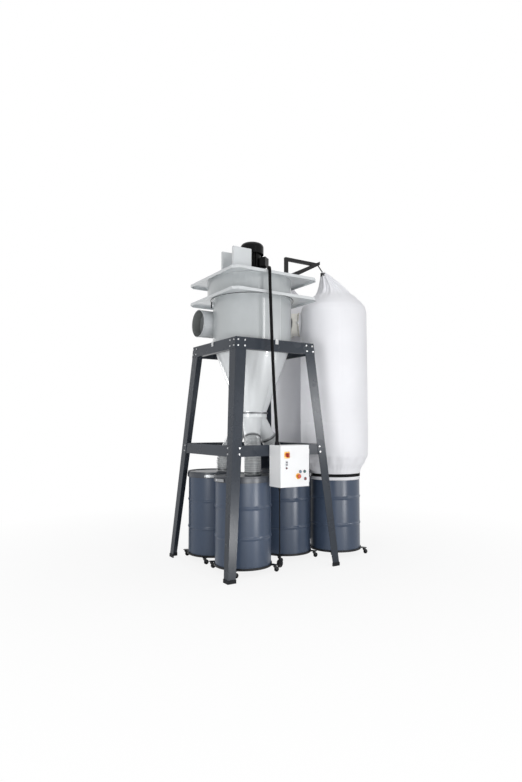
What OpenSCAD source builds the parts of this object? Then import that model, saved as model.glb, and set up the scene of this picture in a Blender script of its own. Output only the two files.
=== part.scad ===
// Cyclone dust collector: a splayed stand carries a cyclone with a motor-driven fan on top.
// Dust falls through a three-way splitter into drums, and clean air fills two filter bags.
// The model is built round the cyclone's axis, standing on the floor, then centred on its footprint.

/* [Cyclone] */
// Outer radius of the cyclone barrel
barrel_r = 435; // [400:1:470]
// Height of the barrel above the stand, up to the lower fan plate
barrel_h = 496; // [460:1:560]
// Sheet thickness of the cyclone, splitter and ducts
sheet = 3; // [2:0.5:5]
// Outer radius of the cone's outlet
cone_r = 165; // [150:1:180]
// Height of the cone
cone_h = 730; // [680:1:800]
// Outer radius of the dust inlet
inlet_r = 150; // [130:1:160]
// Free length of the inlet spigot
spigot_len = 100; // [80:1:120]
// Height of the inlet axis above the stand
inlet_up = 240; // [200:1:270]
// Radius of the vortex tube
vortex_r = 150; // [130:1:165]
// Depth of the vortex tube below the lower plate
vortex_len = 370; // [320:1:420]

/* [Stand] */
// Height of the stand
stand_h = 2350; // [2300:1:2450]
// How far each leg splays from top to floor
splay = 186; // [160:1:210]
// Sheet thickness of the legs
leg_t = 5; // [4:0.5:8]
// Flange width of a leg at the floor
leg_foot_w = 82; // [74:1:95]
// Flange width of a leg at the top
leg_head_w = 125; // [115:1:140]
// Height of a foot cap
cap_h = 36; // [28:1:50]
// Wall of a foot cap
cap_wall = 2.5; // [2:0.5:4]
// Sheet thickness of the beams
beam_t = 4; // [3:0.5:6]
// Depth of the beams' folded flanges
beam_lip = 38; // [30:1:42]
// Height of a top beam
top_beam_h = 120; // [105:1:140]
// Height of a middle beam
mid_beam_h = 110; // [95:1:125]
// Height of the middle beams above the floor
mid_beam_z = 1160; // [1130:1:1200]
// Width across the flats of a frame bolt
bolt_flats = 14; // [13:1:19]

/* [Fan] */
// How far the square fan plates stand out past the barrel
plate_reach = 95; // [85:1:110]
// Sheet thickness of the fan plates
plate_t = 4; // [3:0.5:6]
// Depth of the plates' folded edges
plate_lip = 30; // [22:1:34]
// Corner cut of the plates
plate_cut = 58; // [40:1:80]
// Inside height of the fan housing
fan_h = 211; // [195:1:235]
// Outer radius of the impeller
impeller_r = 330; // [300:1:360]
// Height of the impeller blades
blade_h = 120; // [100:1:140]
// Number of impeller blades
blade_n = 10; // [6:1:14]
// Height of the upright channels on the top plate
channel_h = 238; // [200:1:260]

/* [Motor] */
// Radius of the motor's fan cowl
motor_r = 130; // [118:0.5:136]
// Height of the motor from its flange to the top of the cowl
motor_h = 435; // [420:1:470]
// Radius of the motor flange
flange_r = 150; // [140:1:155]
// Radius of the motor shaft
shaft_r = 19; // [16:0.5:21]
// Running clearance of a turning shaft or pin
run_gap = 0.05; // [0.02:0.01:0.1]
// Gap between pieces that move past each other
free_gap = 0.4; // [0.3:0.1:0.6]
// Side of the square terminal box
term_side = 100; // [90:1:110]
// Depth of the terminal box
term_depth = 62; // [50:1:70]

/* [Splitter and hoses] */
// Slant of the three splitter legs from vertical, in degrees
leg_slant = 32; // [28:1:35]
// Distance of a splitter leg's mouth from the axis
leg_out = 200; // [190:1:215]
// Height of a splitter leg's mouth above the drum lids
leg_mouth_up = 398; // [385:1:410]
// Outer radius of the hose spigots
hose_spigot_r = 80; // [76:1:84]
// Height of a rib over the hose wall
rib_h = 3; // [2:0.5:4]
// Spacing of the hose ribs
rib_pitch = 20; // [17:1:26]
// Bend radius of the hoses
hose_bend = 180; // [150:1:200]

/* [Drums] */
// Radius of a drum body
drum_r = 286; // [276:1:292]
// Height of a drum
drum_h = 885; // [860:1:890]
// Sheet thickness of a drum
drum_t = 1.5; // [1.2:0.1:2.5]
// Height of the rolling hoops over the drum body
hoop_h = 6.5; // [5:0.5:9]
// Height of a drum's base above the floor
drum_z = 64; // [62:1:70]
// Distance of a caster from the drum's centre, along the dolly's sides
caster_out = 235; // [232:1:245]
// Radius of a caster wheel
wheel_r = 25; // [22:0.5:26]
// Width of a caster wheel
wheel_w = 18; // [14:0.5:20]
// Depth of a lid's skirt below the drum's rim
lid_skirt = 50; // [40:1:60]
// Height of the lock ring
ring_h = 36; // [30:1:40]

/* [Filter bags] */
// Radius of a filled filter bag
bag_r = 390; // [370:1:400]
// Thickness of the bag cloth
bag_t = 3; // [2:0.5:5]
// Depth of a bag's hem over its drum
hem_h = 97; // [80:1:110]
// Radius of a filter inlet arm
arm_r = 135; // [120:1:142]
// Side of the square tube in the bag brackets
tube = 36; // [30:1:40]

/* [Control box] */
// Width of the control box
box_w = 344; // [320:1:380]
// Height of the control box
box_h = 407; // [390:1:430]
// Depth of the control box behind its door
box_d = 176; // [165:1:200]
// Sheet thickness of the control box
box_t = 2; // [1.5:0.5:3]
// Depth of the door
door_d = 16; // [14:1:20]
// Travel of the start and stop buttons
button_travel = 4; // [3:0.5:5]
// Radius of the start and stop buttons
button_r = 11; // [9:0.5:12]

/* [Cables] */
// Radius of the motor cable
motor_cable_r = 17; // [12:0.5:18]
// Radius of the power cord
cord_r = 6; // [5:0.5:7]

/* [Hidden] */
$fn = 64;

// Stand sizes that follow the cyclone
stand_gap = 10;
head_half = barrel_r + beam_lip + stand_gap;
foot_half = head_half + splay;
lean = atan(splay / stand_h);
bolt_inset = 24;
cap_base = 5;
flange_inset = 0.5;
beam_short = 1;
bolt_step = 78;
bolt_head = 6.5;
washer_t = 2;

// Heights up the machine
barrel_top = stand_h + barrel_h;
low_plate_top = barrel_top + plate_t;
fan_top = low_plate_top + fan_h;
motor_z = fan_top + plate_t;
cone_z = stand_h - cone_h;
collar_h = 20;
rim_w = 7;
rim_t = 4;
plate_half = barrel_r + plate_reach;

// Inlet, tangent to the back of the barrel
inlet_y = barrel_r - inlet_r - 5;
inlet_z = stand_h + inlet_up;
stub_x = -barrel_r + 5;
spigot_wall = 4;

// Fan volute, widening clockwise from its tongue to the outlet
volute_start = barrel_r - 31;
volute_turn = 320;
tongue_at = 50;
volute_rate = (plate_half - 2 * plate_t - sheet - 4 - volute_start) / volute_turn;
outlet_x = plate_half - plate_t - 6;

// Motor sizes
shield_h = 45;
stator_h = 280;
rotor_r = 70;
core_r = 100;
fin_n = 36;
cowl_wall = 2;
term_at = -55;
term_up = 158;
gland_h = 40;

// Drums: places of the three dust drums and the two bag drums round the cyclone's axis
drum_front = [-280, -285];
drum_left = [-270, 360];
drum_right = [438, 0];
bag_away = 595;
bag_front = [barrel_r + bag_away, -170];
bag_rear = [barrel_r + bag_away, 660];
dust_drums = [drum_front, drum_left, drum_right];
all_drums = [drum_front, drum_left, drum_right, bag_front, bag_rear];
drum_top = drum_z + drum_h;
curl_r = 5.5;
lid_gap = 1.5;
lid_t = 3;
lid_in = drum_r + curl_r + lid_gap;
lid_r = lid_in + lid_t;
lid_top = drum_top + lid_t;
spigot_up = 70;
hoop_w = 44;
ring_z = drum_top - lid_skirt + 6;
ring_r = lid_r + free_gap;
ring_t = 4;
ear_t = 4;
latch_pin_r = 4;
latch_len = 110;
latch_at = [180, -137, -60];

// Hoses: each leaves a splitter leg on its slant and turns down to its lid
leg_turns = [240, 120, 0];
leg_mouth_z = lid_top + leg_mouth_up;
leg_shift = 45;
neck_h = 48;
hose_sides = 16;
hose_fit = 0.3;
hose_in = (hose_spigot_r + hose_fit) / cos(180 / hose_sides);
hose_wall = 3;
spigot_in = 60;
hose_skip = 4;
hose_tan = hose_bend * tan(leg_slant / 2);
hose_knee = 283;
hose_x = leg_out + hose_knee * sin(leg_slant);
knee_z = leg_mouth_z - hose_knee * cos(leg_slant);
hose_foot = lid_top + 3;
hose_a = knee_z - hose_tan - hose_foot;
hose_b = hose_bend * leg_slant * PI / 180;
hose_c = hose_knee - hose_tan - hose_skip;
hose_len = hose_a + hose_b + hose_c;
rib_n = floor(hose_len / rib_pitch);
rib_step = hose_len / rib_n;

// Filter bags: height, share of the full radius, and how far the top leans to its rope
bag_sides = 32;
hem_r = (drum_r + curl_r + free_gap) / cos(180 / bag_sides);
bag_top = motor_z + 203;
bag_swell = drum_top + 181;
bag_lean = -148;
bag_rows = [[bag_swell, 0.99, 0], [bag_swell + 370, 1, 0], [bag_top - 1068, 1, 0], [bag_top - 478, 0.995, 0],
    [bag_top - 418, 0.96, 0], [bag_top - 378, 0.89, 0], [bag_top - 318, 0.755, 0], [bag_top - 248, 0.545, 0.02],
    [bag_top - 198, 0.447, 0.12], [bag_top - 133, 0.334, 0.33], [bag_top - 63, 0.205, 0.65], [bag_top, 0.068, 1]];
arm_z = stand_h + 325;
arm_from = [barrel_r + 165, 245];
arm_short = 12;
sleeve_len = 30;
sleeve_t = 3;
sleeve_band = 18;
band_h = 34;
band_t = 3;
duct_x0 = plate_half + 8;
duct_x1 = duct_x0 + 82;
duct_y0 = 130;
duct_y1 = plate_half - 2 * plate_t - 4;
duct_z0 = arm_z - arm_r - 10;

// Bag brackets on the top plate
bracket_y = [-170, 470];
rail_up = 86;
rail_x = [112, 515];
post_x = 348;
tip_x = bag_front[0] - 210;
bracket_arm_z = bag_top + 56;
boom_rise = 214;
boom_in = 348;
boom_slope = (boom_rise + tube / 2) / (tip_x - boom_in);

// Control box on the front middle beam
box_x = 21;
box_top = 1270;
box_back = foot_half - splay * mid_beam_z / stand_h + 4;
box_front = -box_back - box_d;
door_gap = 2;
door_face = box_front - door_gap - door_d;
hinge_out = 7;
hinge_r = 7;
pin_r = 3;
hinge_x = box_x + box_w / 2 + hinge_out;
hinge_y = box_front - 4;
hinge_h = 50;
hinge_in = [40, box_h - 40 - hinge_h];
isolator_at = [-75, 1176];
meter_at = [-80, 1085];
lamp_at = [85, 1010];
start_at = [137, 1010];
estop_at = [60, 966];
stop_at = [146, 938];
isolator_plate = 66;
estop_ring_r = 30;
estop_head_r = 20;
estop_stem_r = 8;
handle_reach = 32;
handle_r = 22;
handle_stem_r = 6;
fit_t = 4;
stand_off = 14;

// Casters
axle_r = 4;
trail = 18;
fork_gap = 1;
fork_t = 3;
dolly_t = 4;
outrigger_z = 68;

// Motor cable: from the terminal box over the front edge of the top plate, down to the control box
cable_drop = motor_z - box_top;
motor_cable_pts = [[80, -115, motor_z + 116], [80, -115, motor_z + 104], [80, -115, motor_z + 92],
    [76, -150, motor_z + 46], [40, -220, motor_z + 23], [-20, -330, motor_z + 20], [-80, -450, motor_z + 20],
    [-116, -520, motor_z + 22], [-134, -560, motor_z + 4], [-140, -574, motor_z - 55], [-140, -578, motor_z - 165],
    [-136, -590, box_top + 0.74 * cable_drop], [-130, -606, box_top + 0.52 * cable_drop],
    [-122, -626, box_top + 0.3 * cable_drop], [-114, -646, box_top + 0.13 * cable_drop],
    [-110, -655, box_top + 90], [-110, -655, box_top + 63], [-110, -655, box_top + 36]];

// Power cord: hangs from the box and sweeps down to its plug on the floor
cord_pts = [[-98, -680, 820], [-98, -680, 760], [-98, -680, 600], [-98, -680, 440], [-97, -678, 320],
    [-90, -668, 230], [-74, -645, 155], [-46, -604, 98], [-10, -552, 60], [18, -511, 42], [36, -484, 33],
    [46, -470, 33], [55, -457, 33]];
plug_at = [55, -457];
plug_turn = 55;
plug_r = 33;

// Reach of the machine on the floor, which sets its centre
reach_left = foot_half + cap_wall;
reach_right = bag_front[0] + bag_r;
reach_front = -door_face + fit_t + handle_reach;
reach_back = bag_rear[1] + bag_r;

function half_at(z) = foot_half - splay * z / stand_h;
function leg_w(z) = leg_foot_w + (leg_head_w - leg_foot_w) * z / stand_h;
function slope_at(z) = z / cos(lean);
function flip(list) = [for (i = [len(list) - 1:-1:0]) list[i]];
function unit(v) = v / norm(v);

// One smooth stretch through four points of a route
function smooth(a, b, c, d, u) = 0.5 * (2 * b + (c - a) * u + (2 * a - 5 * b + 4 * c - d) * u * u
    + (3 * b - a - 3 * c + d) * u * u * u);
function route(pts, steps) = concat([for (i = [0:len(pts) - 2]) for (s = [0:steps - 1])
    smooth(pts[max(i - 1, 0)], pts[i], pts[i + 1], pts[min(i + 2, len(pts) - 1)], s / steps)],
    [pts[len(pts) - 1]]);
function ring(p, t, r, sides, ref) = let (e = unit(cross(ref, t)), f = cross(t, e))
    [for (j = [0:sides - 1]) p + r * (cos(j * 360 / sides) * e + sin(j * 360 / sides) * f)];
function way(line, i) = unit(line[min(i + 1, len(line) - 1)] - line[max(i - 1, 0)]);

module place() {
    translate([(reach_left - reach_right) / 2, (reach_front - reach_back) / 2, 0]) children();
}

// Skin over a row of rings, capped at both ends or joined into a loop
module skin(rings, closed = false) {
    n = len(rings[0]);
    m = len(rings);
    sides = [for (i = [0:m - (closed ? 1 : 2)]) for (j = [0:n - 1])
        let (a = i * n + j, b = i * n + (j + 1) % n, c = ((i + 1) % m) * n + (j + 1) % n,
            d = ((i + 1) % m) * n + j) each [[a, c, b], [a, d, c]]];
    first = closed ? [] : [for (j = [1:n - 2]) [0, j, j + 1]];
    last = closed ? [] : [for (j = [1:n - 2]) [(m - 1) * n, (m - 1) * n + j + 1, (m - 1) * n + j]];
    polyhedron([for (r = rings) each r], concat(sides, first, last));
}

module cable(pts, steps, r, sides) {
    line = route(pts, steps);
    skin([for (i = [0:len(line) - 1]) ring(line[i], way(line, i), r, sides, [1, 1, 1])]);
}

module rod(p, q, r) {
    d = q - p;
    translate(p) rotate([0, acos(d[2] / norm(d)), atan2(d[1], d[0])]) cylinder(h = norm(d), r = r);
}

module tube_ring(r0, r1, h) {
    difference() {
        cylinder(h = h, r = r1);
        translate([0, 0, -1]) cylinder(h = h + 2, r = r0);
    }
}

// Stand: the section of a leg at one height, an angle open towards the axis
function leg_section(z) = let (c = half_at(z), w = leg_w(z), t = leg_t)
    [for (p = [[0, 0], [0, w], [t, w], [t, t], [w, t], [w, 0]]) [p[0] - c, p[1] - c, z]];

module leg_loft(z0, z1) {
    a = leg_section(z0);
    b = leg_section(z1);
    n = len(a);
    foot = [[3, 2, 1, 0], [5, 4, 3, 0]];
    head = [[n, n + 1, n + 2, n + 3], [n, n + 3, n + 4, n + 5]];
    polyhedron(concat(a, b), concat(foot, head, [for (i = [0:n - 1]) [i, (i + 1) % n, n + (i + 1) % n, n + i]]));
}

module on_corners() {
    for (k = [0:3]) rotate(90 * k) children();
}

// Frame of one stand face: x across, y up the slope, z outwards
module on_faces() {
    for (k = [0:3]) rotate(90 * k) translate([0, -foot_half, 0]) rotate([90 - lean, 0, 0]) children();
}

module frame_legs() {
    color("#3d434b") place() on_corners() leg_loft(cap_base, stand_h);
}

// A cap stands upright, so its pocket leaves room for the leg's lean
module cap_section(grow) {
    shift = half_at(0) - half_at(cap_h);
    w = leg_w(cap_h) + shift + free_gap + grow;
    t = leg_t + shift + free_gap + grow;
    polygon([for (p = [[-grow, -grow], [-grow, w], [t, w], [t, t], [w, t], [w, -grow]])
        [p[0] - foot_half, p[1] - foot_half]]);
}

module foot_caps() {
    color("#23262a") place() on_corners() difference() {
        linear_extrude(cap_h) cap_section(cap_wall);
        translate([0, 0, cap_base]) linear_extrude(cap_h) cap_section(0);
    }
}

module beam(z0, z1, out, half0, half1, flange_half) {
    s0 = slope_at(z0);
    s1 = slope_at(z1);
    translate([0, 0, out]) linear_extrude(beam_t)
        polygon([[-half0, s0], [half0, s0], [half1, s1], [-half1, s1]]);
    for (s = [s0 + flange_inset, s1 - beam_t - flange_inset]) translate([-flange_half, s, out - beam_lip])
        cube([2 * flange_half, beam_t, beam_lip + beam_t / 2]);
}

module top_beams() {
    z0 = stand_h - top_beam_h;
    color("#3d434b") place() on_faces() beam(z0, stand_h, 0, half_at(z0) - beam_short, half_at(stand_h) - beam_short,
        half_at(stand_h) - leg_w(stand_h) - 4);
}

module mid_beams() {
    z1 = mid_beam_z + mid_beam_h;
    short = beam_lip + leg_t + 4;
    color("#3d434b") place() on_faces() beam(mid_beam_z, z1, -leg_t - beam_t, half_at(mid_beam_z) - short,
        half_at(z1) - short, half_at(z1) - short);
}

module bolt(flats, washer) {
    cylinder(h = washer_t, r = washer);
    translate([0, 0, washer_t]) cylinder(h = bolt_head, d = flats / cos(30), $fn = 6);
}

module frame_bolts() {
    color("#c9ccd0") place() on_faces() for (e = [-1, 1]) {
        for (x = [bolt_inset, bolt_inset + bolt_step]) for (z = [stand_h - 30, stand_h - top_beam_h + 30])
            translate([e * (half_at(z) - x), slope_at(z), beam_t]) bolt(bolt_flats, bolt_flats * 0.62);
        for (z = [mid_beam_z + 26, mid_beam_z + mid_beam_h - 26])
            translate([e * (half_at(z) - leg_w(z) + 24), slope_at(z), 0]) bolt(bolt_flats, bolt_flats * 0.62);
    }
}

// Cyclone
module cyclone_barrel() {
    color("#c3c9c9") place() difference() {
        union() {
            rotate_extrude($fn = 128) polygon([[barrel_r - sheet, stand_h], [barrel_r, stand_h],
                [barrel_r, barrel_top - rim_t], [barrel_r + 22, barrel_top - rim_t], [barrel_r + 22, barrel_top],
                [barrel_r - sheet, barrel_top]]);
            difference() {
                translate([stub_x, inlet_y, inlet_z]) rotate([0, 90, 0]) cylinder(h = -stub_x, r = inlet_r);
                cylinder(h = 2 * barrel_top, r = barrel_r - sheet / 2);
            }
        }
        translate([stub_x - 1, inlet_y, inlet_z]) rotate([0, 90, 0]) cylinder(h = 1 - stub_x, r = inlet_r - sheet);
    }
}

module inlet_spigot() {
    bead = 4;
    color("#ccd1d2") place() translate([stub_x, inlet_y, inlet_z]) rotate([0, -90, 0]) rotate_extrude()
        union() {
            translate([inlet_r - spigot_wall, 0]) square([spigot_wall, spigot_len]);
            translate([inlet_r - 1, spigot_len - bead]) intersection() {
                circle(r = bead, $fn = 24);
                translate([0, -bead]) square([bead, 2 * bead]);
            }
        }
}

module vortex_tube() {
    color("#b4babb") place() translate([0, 0, low_plate_top - vortex_len]) {
        tube_ring(vortex_r - sheet, vortex_r, vortex_len + sheet);
        translate([0, 0, vortex_len]) tube_ring(vortex_r - 1, vortex_r + 25, sheet);
    }
}

module cyclone_cone() {
    color("#c3c9c9") place() rotate_extrude($fn = 128) polygon([[barrel_r - sheet, stand_h], [barrel_r, stand_h],
        [cone_r, cone_z], [cone_r, cone_z - collar_h + rim_t], [cone_r + rim_w, cone_z - collar_h + rim_t],
        [cone_r + rim_w, cone_z - collar_h], [cone_r - sheet, cone_z - collar_h], [cone_r - sheet, cone_z]]);
}

module mounting_lugs() {
    lug_w = 36;
    lug_t = 5;
    drop = 46;
    face = half_at(stand_h - drop) + beam_t + 1;
    seat = stand_h + beam_t * sin(lean) + 0.1;
    color("#d8dadb") place() for (k = [0:3]) rotate(90 * k) {
        difference() {
            translate([-lug_w / 2, -face - lug_t, seat]) cube([lug_w, face + lug_t - barrel_r + 12, lug_t]);
            cylinder(h = 2 * stand_h, r = barrel_r + 0.2);
        }
        translate([-lug_w / 2, -face - lug_t, stand_h - drop]) cube([lug_w, lug_t, seat + lug_t - stand_h + drop]);
        translate([0, -face - lug_t, stand_h - drop / 2]) rotate([90, 0, 0]) bolt(bolt_flats, bolt_flats * 0.7);
    }
}

// Splitter and hoses
function hose_at(d) = d < hose_a ? [hose_x, hose_foot + d, 0]
    : d < hose_a + hose_b ? let (t = (d - hose_a) / hose_bend * 180 / PI)
        [hose_x - hose_bend * (1 - cos(t)), hose_foot + hose_a + hose_bend * sin(t), t]
    : let (s = hose_c - (d - hose_a - hose_b) + hose_skip)
        [leg_out + s * sin(leg_slant), leg_mouth_z - s * cos(leg_slant), leg_slant];
function hose_ring(d, r) = let (h = hose_at(d))
    ring([h[0], 0, h[1]], [-sin(h[2]), 0, cos(h[2])], r, hose_sides, [0, 1, 0]);

module splitter_leg(thin) {
    r = hose_spigot_r - thin;
    hull() {
        translate([leg_shift, 0, cone_z - collar_h - neck_h - 4])
            cylinder(h = 8, r = cone_r - leg_shift - 2 - thin, $fn = 32);
        translate([leg_out, 0, leg_mouth_z]) rotate([0, 180 - leg_slant, 0])
            translate([0, 0, -6]) cylinder(h = 6, r = r + 2, $fn = 32);
    }
}

module dust_splitter() {
    top = cone_z - collar_h;
    color("#bcc2c3") place() {
        difference() {
            union() {
                translate([0, 0, top - neck_h]) cylinder(h = neck_h, r = cone_r);
                translate([0, 0, top - rim_t]) cylinder(h = rim_t, r = cone_r + rim_w);
                for (a = leg_turns) rotate(a) splitter_leg(0);
                for (a = leg_turns) rotate(a) translate([leg_out, 0, leg_mouth_z]) rotate([0, 180 - leg_slant, 0])
                    translate([0, 0, -1]) cylinder(h = spigot_in + 1, r = hose_spigot_r);
            }
            translate([0, 0, top - neck_h + sheet]) cylinder(h = neck_h, r = cone_r - sheet);
            for (a = leg_turns) rotate(a) splitter_leg(sheet);
            for (a = leg_turns) rotate(a) translate([leg_out, 0, leg_mouth_z]) rotate([0, 180 - leg_slant, 0])
                translate([0, 0, -7]) cylinder(h = spigot_in + 8, r = hose_spigot_r - sheet);
        }
    }
}

module dust_hoses() {
    outer = hose_in + hose_wall;
    outside = concat([hose_ring(0, outer)], [for (i = [0:rib_n - 1]) each
        [hose_ring((i + 0.35) * rib_step, outer), hose_ring((i + 0.65) * rib_step, outer + rib_h)]],
        [hose_ring(hose_len, outer)]);
    bore_n = 10;
    inside = [for (i = [0:bore_n]) hose_ring(hose_len * i / bore_n, hose_in)];
    color("#aeb6b5") place() for (a = leg_turns) rotate(a) skin(concat(outside, flip(inside)), true);
}

module clamp_rings() {
    outer = hose_in + hose_wall + rib_h + 0.3;
    clamp_w = 14;
    top = cone_z - collar_h;
    color("#8d9296") place() {
        translate([0, 0, top - 9]) tube_ring(cone_r + rim_w + 0.2, cone_r + rim_w + 6, 18);
        rotate(-115) translate([cone_r + rim_w + 5.5, -16, top - 9]) cube([16, 32, 18]);
        for (a = leg_turns) rotate(a) for (d = [26, hose_len - 22]) let (h = hose_at(d))
            translate([h[0], 0, h[1]]) rotate([0, -h[2], 0]) translate([0, 0, -clamp_w / 2]) {
                tube_ring(outer, outer + 2, clamp_w);
                rotate(140) translate([outer + 1.5, -12, 0]) cube([9, 24, clamp_w]);
            }
    }
}

// Fan: square plates with folded edges
module cut_square(half, cut) {
    polygon([for (k = [0:3]) for (p = [[half, cut - half], [half, half - cut]])
        [p[0] * cos(90 * k) - p[1] * sin(90 * k), p[0] * sin(90 * k) + p[1] * cos(90 * k)]]);
}

module fan_plate(top, hole_r) {
    translate([0, 0, top - plate_lip]) difference() {
        linear_extrude(plate_lip) cut_square(plate_half, plate_cut);
        translate([0, 0, -1]) linear_extrude(plate_lip - plate_t + 1)
            cut_square(plate_half - plate_t, plate_cut - plate_t * 0.586);
        cylinder(h = plate_lip + 1, r = hole_r);
    }
}

module lower_plate() {
    color("#ccd1d1") place() fan_plate(low_plate_top, vortex_r + 0.2);
}

// The lip of one cut corner is slotted for the housing's outlet wall
module top_plate() {
    wall_y = volute_r(volute_turn) - free_gap;
    color("#ccd1d1") place() difference() {
        fan_plate(motor_z, 3 * shaft_r);
        translate([plate_half - plate_cut - 2 * plate_t, wall_y, motor_z - plate_lip - 1])
            cube([plate_cut, sheet + 2 * free_gap, plate_lip - plate_t + 1]);
    }
}

function volute_r(p) = volute_start + volute_rate * p;
function volute_pt(p, grow) = (volute_r(p) + grow) * [cos(tongue_at - p), sin(tongue_at - p)];

module fan_housing() {
    end_y = volute_r(volute_turn);
    tongue_y = volute_pt(0, 0)[1];
    inner = concat([[outlet_x, tongue_y]], [for (p = [0:8:volute_turn]) volute_pt(p, 0)], [[outlet_x, end_y]]);
    outer = concat([[outlet_x, tongue_y - sheet]], [for (p = [4:8:volute_turn]) volute_pt(p, sheet)],
        [volute_pt(volute_turn, sheet), [outlet_x, end_y + sheet]]);
    color("#c8cdce") place() translate([0, 0, low_plate_top]) linear_extrude(fan_h)
        polygon(concat(inner, flip(outer)));
}

module upright_channels() {
    wall = 3;
    flange = 30;
    x0 = -barrel_r - 15;
    width = 215;
    color("#d3d7d8") place() for (y = [-370, -140]) translate([x0, y, motor_z]) linear_extrude(channel_h)
        polygon([[0, 0], [width, 0], [width, flange], [width - wall, flange], [width - wall, wall],
            [wall, wall], [wall, flange], [0, flange]]);
}

// Rotor: impeller with backward-curved blades, motor shaft and cooling fan
module blade(r0, r1) {
    steps = 6;
    sweep = 48;
    t = 3;
    arc = [for (i = [0:steps]) let (u = i / steps, r = r0 + (r1 - r0) * u) [r, sweep * u]];
    linear_extrude(blade_h) polygon(concat([for (p = arc) p[0] * [cos(p[1]), sin(p[1])]],
        [for (p = flip(arc)) p[0] * [cos(p[1]), sin(p[1])] + t * [-sin(p[1]), cos(p[1])]]));
}

module impeller() {
    back_z = fan_top - 30;
    eye_r = vortex_r + 12;
    color("#6d7378") place() difference() {
        union() {
            translate([0, 0, back_z - plate_t]) cylinder(h = plate_t, r = impeller_r);
            translate([0, 0, back_z - blade_h]) tube_ring(eye_r, impeller_r, plate_t);
            for (i = [0:blade_n - 1]) rotate(360 / blade_n * i) translate([0, 0, back_z - blade_h + plate_t / 2])
                blade(eye_r + 6, impeller_r - 4);
            translate([0, 0, back_z - 50]) cylinder(h = 58, r = shaft_r + 22);
        }
        translate([0, 0, back_z - 60]) cylinder(h = 90, r = shaft_r + run_gap);
    }
}

module motor_shaft() {
    z0 = fan_top - 78;
    z1 = motor_z + shield_h + stator_h;
    color("#a8acb0") place() rotate_extrude() polygon([[0, z0], [shaft_r, z0], [shaft_r, motor_z + shield_h + 40],
        [rotor_r, motor_z + shield_h + 40], [rotor_r, z1 - 40], [shaft_r, z1 - 40], [shaft_r, z1 + 20],
        [shaft_r - 5, z1 + 20], [shaft_r - 5, z1 + 62], [0, z1 + 62]]);
}

module cooling_fan() {
    z = motor_z + shield_h + stator_h + 24;
    bore = shaft_r - 5 + run_gap;
    blade_out = motor_r - 22;
    color("#2a2c2e") place() difference() {
        union() {
            translate([0, 0, z]) cylinder(h = 34, r = shaft_r + 8);
            translate([0, 0, z]) cylinder(h = 3, r = blade_out);
            for (i = [0:6]) rotate(360 / 7 * i) translate([shaft_r + 4, -1.5, z]) cube([blade_out - shaft_r - 6, 3, 30]);
        }
        translate([0, 0, z - 1]) cylinder(h = 40, r = bore);
    }
}

// Motor: finned housing between two end shields, with a domed cowl over the cooling fan
module motor_housing() {
    color("#1f2123") place() translate([0, 0, motor_z + shield_h]) difference() {
        union() {
            cylinder(h = stator_h, r = core_r);
            for (i = [0:fin_n - 1]) let (a = i * 360 / fin_n)
                if (abs((a - term_at + 540) % 360 - 180) > 36)
                    rotate(a) translate([core_r - 4, -1.6, 12]) cube([motor_r - core_r, 3.2, stator_h - 24]);
        }
        translate([0, 0, -1]) cylinder(h = stator_h + 2, r = rotor_r + 1);
    }
}

module motor_end_shields() {
    z1 = motor_z + shield_h + stator_h;
    color("#1f2123") place() {
        rotate_extrude() polygon([[shaft_r + run_gap, motor_z], [flange_r, motor_z], [flange_r, motor_z + 14],
            [core_r + 14, motor_z + 18], [core_r + 10, motor_z + shield_h], [shaft_r + run_gap, motor_z + shield_h]]);
        rotate_extrude() polygon([[shaft_r + run_gap, z1], [motor_r - cowl_wall - 0.2, z1], [motor_r - cowl_wall - 0.2, z1 + 10],
            [shaft_r + run_gap, z1 + 14]]);
    }
}

module fan_cowl() {
    wall = cowl_wall;
    z0 = motor_z + shield_h + stator_h - 16;
    z1 = motor_z + motor_h;
    dome = 48;
    slot_n = 20;
    color("#1b1d1f") place() difference() {
        rotate_extrude() union() {
            translate([motor_r - wall, z0]) square([wall, z1 - dome - z0]);
            intersection() {
                translate([motor_r - dome, z1 - dome]) difference() {
                    circle(r = dome);
                    circle(r = dome - wall);
                }
                translate([motor_r - dome, z1 - dome]) square([dome, dome]);
            }
            translate([20, z1 - wall]) square([motor_r - dome - 20, wall]);
            translate([0, z1 - wall]) square([20.5, wall]);
        }
        for (i = [0:slot_n - 1]) rotate(360 / slot_n * i) translate([34, -3, z1 - 10]) cube([motor_r - dome - 40, 6, 20]);
    }
}

module terminal_box() {
    z = motor_z + term_up;
    base = core_r;
    color("#1f2123") place() rotate(term_at) {
        difference() {
            translate([base - 4, -term_side / 2 + 8, z + 6]) cube([24, term_side - 16, term_side - 12]);
            translate([0, 0, z - 10]) cylinder(h = term_side + 20, r = core_r);
        }
        translate([base + 20, -term_side / 2, z]) cube([term_depth - 14, term_side, term_side]);
        translate([base + 6 + term_depth, -term_side / 2 - 2, z]) cube([12, term_side + 4, term_side + 2]);
    }
}

module gland(h, r) {
    rotate_extrude() polygon([[0, 0], [r + 9, 0], [r + 9, 8], [r + 6, 9], [r + 6, 20], [r + 2, h], [0, h]]);
}

module cable_glands() {
    last = len(motor_cable_pts) - 1;
    color("#2b2d2f") place() {
        translate([motor_cable_pts[0][0], motor_cable_pts[0][1], motor_z + term_up]) rotate([180, 0, 0])
            gland(motor_z + term_up - motor_cable_pts[0][2], motor_cable_r);
        translate([motor_cable_pts[last][0], motor_cable_pts[last][1], box_top])
            gland(motor_cable_pts[last][2] - box_top, motor_cable_r);
        translate([cord_pts[0][0], cord_pts[0][1], box_top - box_h]) rotate([180, 0, 0])
            gland(box_top - box_h - cord_pts[0][2], cord_r);
    }
}

module motor_cable() {
    color("#17181a") place() cable(motor_cable_pts, 2, motor_cable_r, 10);
}

// Outlet duct: a drop box beside the fan outlet, with an arm to each filter bag
function arm_dir(bag) = unit([bag[0] - arm_from[0], bag[1] - arm_from[1]]);

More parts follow.
